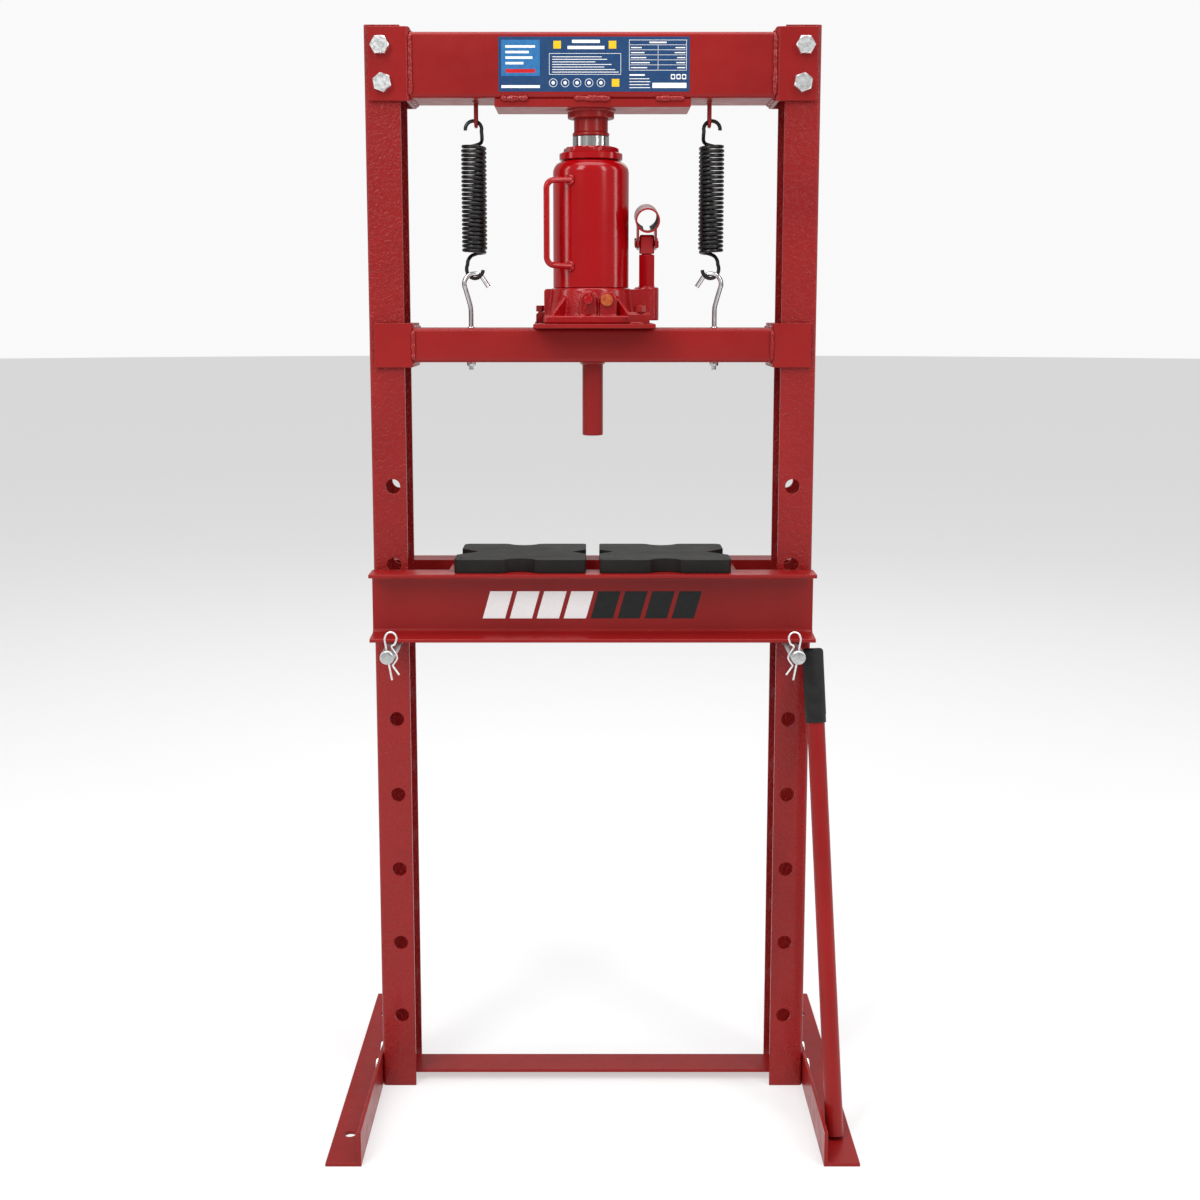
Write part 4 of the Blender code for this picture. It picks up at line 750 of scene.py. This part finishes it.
def fine_base():
    """The casting, fused from its parts and softened into fillets."""
    data = bmesh.new()
    foot = rounded_rectangle((-55, -63), (64, 63), 5.4)
    add_loft(data, stack(ALONG_Z, [(SEAT_TOP, rounded_rectangle((-54.4, -62.4), (63.4, 62.4), 5)),
                                   (922, foot), (928.4, foot),
                                   (929.5, rounded_rectangle((-54, -62), (63, 62), 5))]))
    body = [(50, 922), (48.2, 940), (46.4, 954), (46, 958), (45.6, 959.6), (44.6, 960.7)]
    add_loft(data, stack(JACK, [(z, circle(r, 128)) for r, z in body]))
    for angle in (-128, -52, 52, 128):
        at = JACK @ Matrix.Rotation(math.radians(angle), 4, "Z") @ ALONG_Y
        rib = [(38, 928), (71, 928), (71, 931.5), (49, 950.5), (38, 950.5)]
        add_loft(data, stack(at, [(-2.2, rib), (2.2, rib)]))
    for x in (-5, 17.5):
        pad = [(x + 9.5, 925), *arc((x, VALVE_Z), 9.5, 0, 180, 24), (x - 9.5, 925)]
        rim = [(x + 8.6, 925), *arc((x, VALVE_Z), 8.6, 0, 180, 24), (x - 8.6, 925)]
        add_loft(data, stack(ALONG_Y, [(-52, rim), (-51.2, pad), (-30, pad)]))
    boss = [(14, 924), (14, 960.6), (13.2, 962)]
    add_loft(data, stack(PUMP, [(z, circle(r, 64)) for r, z in boss]))
    neck = [(36, 927), (PUMP_X, 927), (PUMP_X, 959.6), (36, 959.6)]
    add_loft(data, stack(ALONG_Y, [(-13, neck), (13, neck)]))
    lug = [(-56, 925), (-40, 925), (-40, 960), (-50, 960), *arc((-53, 957), 3, 90, 180, 5)]
    add_loft(data, stack(ALONG_Y, [(-9, lug), (9, lug)]))
    for offset in (-7.2, 3):
        ear = [(0, 944), (22, 944), *arc((22, 953), 7, -40, 90, 14), (0, 960)]
        add_loft(data, stack(ALONG_X, [(PUMP_X + offset, ear), (PUMP_X + offset + 4.2, ear)]))
    base = finished("fine_jack_base", data, "cast_paint")
    remesh = base.modifiers.new("fused", "REMESH")
    remesh.mode, remesh.voxel_size = "VOXEL", VOXEL * MM
    soften = base.modifiers.new("fillets", "SMOOTH")
    soften.factor, soften.iterations = 0.5, 5
    trim = base.modifiers.new("trim", "DECIMATE")
    trim.ratio = 0.35
    booleaned(base, [])
    base.data.shade_smooth()
    base.data.set_sharp_from_angle(angle=math.radians(180))
    stands_for(base, "jack_base")


def make_jack():
    fine_base()
    shoulder, top = 14, 1104.7
    centre = (43.4 - shoulder, top - shoulder)
    profile = [(42.6, TANK_FOOT), (43.4, 961.6), *arc(centre, shoulder, 0, 90, 20), (27, top), (27, top - 3)]
    profile += [*arc(centre, 11, 90, 0, 8), (40.4, TANK_FOOT)]
    stands_for(turned("fine_jack_tank", JACK, profile, "jack_paint", 160, closed=True), "jack_tank")
    top = 1119.6
    below = [(FLANGE, 35.2), (FLANGE + 0.8, 36), (FLANGE + 7, 36), (FLANGE + 8, 35)]
    above = [(top, 28.2), (top, 22.4), (top - 1.2, 21.2), (FLANGE, 21.2)]
    flats = [(FLANGE + 8, math.inf), (top - 2.2, 32.6), (top - 1, 30.8)]
    nut = [(z, circle(radius, 96)) for z, radius in below]
    nut += [(z, hexagon(57, reach, 15, 96)) for z, reach in flats]
    nut += [(z, circle(radius, 96)) for z, radius in above]
    stands_for(loft("fine_tank_nut", stack(JACK, nut), "jack_paint", closed=True, smooth=25), "tank_nut")
    profile = [(25.5, TANK_FOOT), (25.5, 1104.7), (21.2, 1104.7), (21.2, TANK_FOOT)]
    stands_for(turned("fine_jack_cylinder", JACK, profile, "machined_steel", closed=True), "jack_cylinder")
    profile = [(20.8, 964), (20.8, 1131), (20.2, 1131.6)]
    stands_for(turned("fine_jack_ram", JACK, profile, "ground_steel", 96), "jack_ram")
    profile = [(20.4, 1131.9), (21, 1132.5), (21, 1134.6), (20.6, 1135.4), (19.5, 1136.6), (19.3, 1137.6),
               (19.3, 1160.4)]
    stands_for(turned("fine_ram_head", JACK, profile, "frame_paint", 96), "ram_head")
    fine_carry_handle()
    fine_valve()


def fine_carry_handle():
    """A bent rod whose two ends are welded to the tank's left side, a little to the front."""
    outward = Vector((-0.53, -0.85, 0)).normalized()
    root = Vector((JACK_X, 0, 0)) + outward * 45.8
    slant = Vector((-0.93, -0.37, 0)).normalized()
    bends = [*arc((18.4, 1071), 9, 90, 0, 12), *arc((18.4, 995), 9, 0, -90, 12)]
    path = [(-2, 1081), (5, 1080.8), *bends, (5, 985.2), (-2, 985)]
    path = [root + slant * a + Vector((0, 0, z)) for a, z in path]
    stands_for(rod("fine_carry_handle", path, 3.4, "jack_paint", 20), "carry_handle")
    across = Matrix.Rotation(math.radians(-31.9), 4, "Z") @ Matrix.Rotation(math.radians(90), 4, "X")
    centres = [root - outward * 1.6 + slant * 0.5 + Vector((0, 0, z)) for z in HANDLE_ROOTS]
    beads = [(ring_path(centre, 4.3, 30, across), 2.0) for centre in centres]
    welds("carry_handle_welds", "carry_handle", "jack_weld_paint", beads)


def fine_valve():
    """The release valve with its cross bar, and the brass plug beside it."""
    valve = Matrix.Translation((-5, 0, VALVE_Z)) @ ALONG_Y
    data = bmesh.new()
    profile = [(3.8, -45), (3.8, -52.3), (4.5, -52.3), (5, -52.9), (5, -62.6), (4.6, -63.6), (3.6, -64)]
    add_loft(data, stack(valve, [(z, circle(r, 40)) for r, z in profile]))
    lean = math.radians(20)
    middle = Vector((-5, -58.5, VALVE_Z))
    along = Vector((-math.sin(lean), 0, -math.cos(lean)))
    path = [middle - along * 10, middle - along * 9.4, middle + along * 11.4, middle + along * 12]
    add_loft(data, sweep_rings(path, lambda i: 1.9 if i in (1, 2) else 1.4, 16))
    stands_for(finished("fine_release_valve", data, "jack_paint"), "release_valve")
    plug = Matrix.Translation((16, 0, VALVE_Z)) @ ALONG_Y
    profile = [(3.9, -45), (3.9, -52.3), (6.9, -52.3), (6.9, -55.2), (6.6, -55.8), (6.0, -56), (5.2, -55.8),
               (4.9, -55.8)]
    stands_for(turned("fine_valve_plug", plug, profile, "brass_plug", 48), "valve_plug")


def make_pump():
    """The pump barrel with its plunger, and the handle socket with its pins and rear link."""
    flats = [(962.3, math.inf), (997.6, math.inf), (998.4, 9.2), (999, 8.5)]
    levels = [(z, hexagon(17.4, reach)) for z, reach in flats]
    levels += [(999, circle(6.4, 48)), (962.3, circle(6.4, 48))]
    barrel = loft("fine_pump_barrel", stack(PUMP, levels), "jack_paint", closed=True, smooth=25)
    stands_for(barrel, "pump_barrel")
    welds("barrel_weld", "pump_barrel", "jack_weld_paint", [(ring_path((PUMP_X, 0, 962.2), 9.2, 40), 1.0)])

    data = bmesh.new()
    add_loft(data, stack(PUMP, [(940, circle(6, 32)), (1002, circle(6, 32))]))
    head = ((1000, 8, 6.6, 2.4), (1000.8, 8.6, 7, 2.6), (1019, 8.6, 7, 2.6), (1021.5, 7.4, 5.2, 2.2))
    levels = [(z, rounded_rectangle((-x, -y), (x, y), radius, 5)) for z, x, y, radius in head]
    add_loft(data, stack(PUMP, levels))
    stands_for(finished("fine_pump_plunger", data, "jack_paint"), "pump_plunger")
    fine_socket()
    for node in ("lever_pin", "link_pin"):
        kept(node, 0.3)
    kept("pump_link", 0.4)


def fine_socket():
    """The tilted tube that takes the handle, with two ears under it, a slot and a dull bore."""
    tilt = math.radians(7.5)
    slope = math.tan(tilt)
    place = Matrix.Translation((PUMP_X, 0, 1036 + 35 * slope)) @ Matrix.Rotation(tilt, 4, "X") @ ALONG_Y
    start, end = -35 / math.cos(tilt), 28 / math.cos(tilt)
    socket = bar("fine_handle_socket", place, circle(13.9, 72), start, end, "jack_paint")
    ears = []
    for side in SIDES.values():
        outline = [*arc((-8, 1009.5), 3.5, 180, 260, 4), (8, 1004.5), *arc((24, 1011.5), 5, 270, 360, 5)]
        outline += [(27, 1040), (-13, 1035)]
        low, high = sorted((PUMP_X + side * 9.1, PUMP_X + side * 11.3))
        ears.append(bar(f"ear_{side}", ALONG_X, outline, low, high, "jack_paint"))
    booleaned(socket, ears, "UNION")
    bore = bar("socket_bore", place, circle(11.9, 72), start - 5, end + 5, "jack_paint")
    outline = [(-22, 1005), (40, 1005), (40, 1036), (-22, 1036)]
    slot = bar("socket_slot", ALONG_X, outline, PUMP_X - 4, PUMP_X + 4, "jack_paint")
    booleaned(socket, [bore, slot])
    socket.data.materials.append(MATERIALS["raw_bore"])
    middle = place.translation * MM
    axis = (place.to_3x3() @ Vector((0, 0, 1))).normalized()
    for face in socket.data.polygons:
        offset = face.center - middle
        if (offset - axis * offset.dot(axis)).length < 12.1 * MM and abs(face.normal.dot(axis)) < 0.5:
            face.material_index = 1
    stands_for(eased(socket, 0.35), "handle_socket")


# ---------------------------------------------------------------- bed, pins and handle


def make_bed():
    for node, end in (("front_bed_channel", -1), ("rear_bed_channel", 1)):
        outline = [(37, 558.1), (73.5, 558.1)]
        outline += [*arc((73.5, 559.1), 1, -90, 0, 2), *arc((72.5, 560.6), 2, 0, 82, 4)]
        outline += [*arc((48, 570.2), 6, 262, 180, 7), *arc((48, 625.0), 6, 180, 98, 7)]
        outline += [*arc((72.5, 634.6), 2, -82, 0, 4), *arc((73.5, 636.1), 1, 0, 90, 2), (37, 637.1)]
        points = [(end * y, z) for y, z in outline]
        stands_for(bar("fine_" + node, ALONG_X, points, -256, 256, "frame_paint", ease=0.6), node)
    for label, side in SIDES.items():
        kept(label + "_bed_spacer", 0.5)
        corners = [(side * x, end * 36.6) for x in (160.6, 169.4) for end in SIDES.values()]
        welds(f"{label}_spacer_welds", label + "_bed_spacer", "weld_paint",
              [(along_line((x, y, 566), (x, y, 629)), 2.2) for x, y in corners])
        fine_plate(label, side)
        fine_pin(label, side)


def fine_plate(label, side):
    """A plate with a vee at each end and a round notch, with eased lips, in the middle of each side."""
    middle, notch, lip = 83.5, 20, 6
    half = math.sqrt(notch**2 - 8**2)
    spread = math.degrees(math.asin(half / notch)) - lip
    near, far = middle - half - lip, middle + half + lip
    outline = [*arc((12, -61), 4, 180, 270, 5), *arc((near, -59), lip, 270, 305, 4)]
    outline += [*arc((middle, -73), notch, 90 + spread, 90 - spread, 16), *arc((far, -59), lip, 235, 270, 4)]
    outline += [*arc((151, -57), 8, 270, 360, 6), (159, -24), (135, 0), (156, 24)]
    outline += arc((148, 57), 8, 0, 90, 6)
    outline += [*arc((far, 59), lip, 90, 125, 4), *arc((middle, 73), notch, 270 + spread, 270 - spread, 16)]
    outline += [*arc((near, 59), lip, 55, 90, 4), *arc((12, 61), 4, 90, 180, 5), (8, 16), (24, 0), (8, -16)]
    plate = bar(f"fine_{label}_arbor_plate", ALONG_Z, mirrored(outline, side), 637.4, 652.9, "plate_black")
    drilled(plate, ALONG_Z, [(side * 152, -52)], 1.5, 651, 655, 16)
    stands_for(eased(plate, 0.7), label + "_arbor_plate")


def fine_pin(label, side):
    profile = [(0.4, -117.9), (6.4, -118), (6.9, -117.8), (8, -116.7), (8, 93.8), (6.8, 95)]
    place = Matrix.Translation((side * POST_X, 0, PIN_Z)) @ ALONG_Y
    pin = turned(f"fine_{label}_bed_pin", place, profile, "pin_zinc", 48, smooth=25)
    stands_for(pin, label + "_bed_pin")
    path = [(4.7, -27.4), (1.2, -8), (-1.2, 8), (-3.0, 19.4), *arc((3.9, 21.2), 6.5, 175, -20, 9)]
    path += [(8.2, 14.0), (4.6, 10.9), (9.6, 2.4), (10.6, -1.4), (9.6, -4.4), (6.2, -9.4), (6.1, -11.4)]
    path.append((12.8, -21.3))
    centres = [(side * (POST_X - a), -109, PIN_Z + b) for a, b in path]
    clip = rod(f"fine_{label}_r_clip", smooth_path(centres, 6), 1.1, "zinc_plate", 12, 0.3)
    stands_for(clip, label + "_r_clip")


def make_handle():
    low, high = Vector((275.4, -167, 6.6)), Vector((255.5, -50.5, 547))
    along = (high - low).normalized()
    place = Matrix.Translation(low) @ along.to_track_quat("Z", "Y").to_matrix().to_4x4()
    length = (high - low).length
    profile = [(9.9, 0), (10.2, 0.3), (10.2, length - 4), (8, length - 4), (8, 0)]
    tube = turned("fine_pump_handle_bar", place, profile, "frame_paint", 48, closed=True)
    stands_for(tube, "pump_handle_bar")
    start = length - 86
    profile = [(10.5, start), (11.5, start), (11.8, start + 0.4), (11.8, start + 8.6), (12.1, start + 9.1)]
    profile += [(12.2, start + 9.8), (12.2, length - 5), (12.0, length - 3), (11.0, length - 1.2)]
    profile += [(9.4, length - 0.3), (8, length)]
    stands_for(turned("fine_pump_handle_grip", place, profile, "grip_rubber"), "pump_handle_grip")


# ---------------------------------------------------------------- stage


def make_stage():
    floor = bpy.data.materials.new("studio_floor")
    floor.use_nodes = True
    shader = floor.node_tree.nodes["Principled BSDF"]
    shader.inputs["Base Color"].default_value = (FLOOR_GREY, FLOOR_GREY, FLOOR_GREY, 1)
    shader.inputs["Emission Color"].default_value = (1, 1, 1, 1)
    shader.inputs["Emission Strength"].default_value = FLOOR_GLOW
    shader.inputs["Roughness"].default_value = 0.85
    shader.inputs["Specular IOR Level"].default_value = 0.1
    data = bmesh.new()
    bmesh.ops.create_circle(data, cap_ends=True, radius=FLOOR_RADIUS, segments=64)
    mesh = bpy.data.meshes.new("studio_floor")
    data.to_mesh(mesh)
    data.free()
    mesh.materials.append(floor)
    ground = bpy.data.objects.new("studio_floor", mesh)
    bpy.context.scene.collection.objects.link(ground)

    world = bpy.data.worlds.new("studio")
    world.use_nodes = True
    tree = world.node_tree
    background = tree.nodes["Background"]
    seen = tree.nodes.new("ShaderNodeLightPath").outputs["Is Camera Ray"]
    shade = tree.nodes.new("ShaderNodeMapRange")
    shade.inputs["To Min"].default_value, shade.inputs["To Max"].default_value = WORLD_LIGHT, WORLD_SEEN
    tree.links.new(seen, shade.inputs["Value"])
    tree.links.new(shade.outputs["Result"], background.inputs["Strength"])
    background.inputs["Color"].default_value = (1, 1, 1, 1)
    bpy.context.scene.world = world
    bpy.context.scene.view_settings.view_transform = "Standard"
    # Name, place, width, height and power.
    lamps = (("key", (-1.5, -2.3, 2.7), 0.9, 2.0, 46), ("fill", (1.9, -2.2, 2.4), 0.6, 2.0, 30),
             ("overhead", (0, -0.2, 3.3), 2.4, 2.4, 66), ("left_strip", (-2.5, -0.5, 1.7), 0.4, 2.0, 12),
             ("right_strip", (2.5, -0.4, 1.7), 0.4, 2.0, 12), ("rear", (0.4, 2.8, 2.6), 2.4, 1.6, 14))
    for name, place, width, height, power in lamps:
        light = bpy.data.lights.new(name, "AREA")
        light.shape, light.size, light.size_y, light.energy = "RECTANGLE", width, height, power
        lamp = bpy.data.objects.new(name, light)
        lamp.location = place
        lamp.rotation_euler = (Vector(LAMP_TARGET) - Vector(place)).to_track_quat("-Z", "Y").to_euler()
        bpy.context.scene.collection.objects.link(lamp)


def make_camera():
    camera = bpy.data.cameras.new("camera")
    camera.lens, camera.sensor_width = CAMERA_LENS, 36
    camera.shift_x, camera.shift_y = 0.0061, -0.05
    camera.clip_end = 100
    obj = bpy.data.objects.new("camera", camera)
    obj.location = CAMERA_PLACE
    obj.rotation_euler = (math.radians(90 - CAMERA_TILT), 0, 0)
    bpy.context.scene.collection.objects.link(obj)
    bpy.context.scene.camera = obj


# Without a seed, noise_vector takes its offsets from the clock, and the welds differ from run to run.
noise.seed_set(7)
make_camera()
make_stage()
make_materials()
make_frame()
make_label()
make_crosshead()
make_jack()
make_pump()
make_bed()
make_stripes()
make_handle()
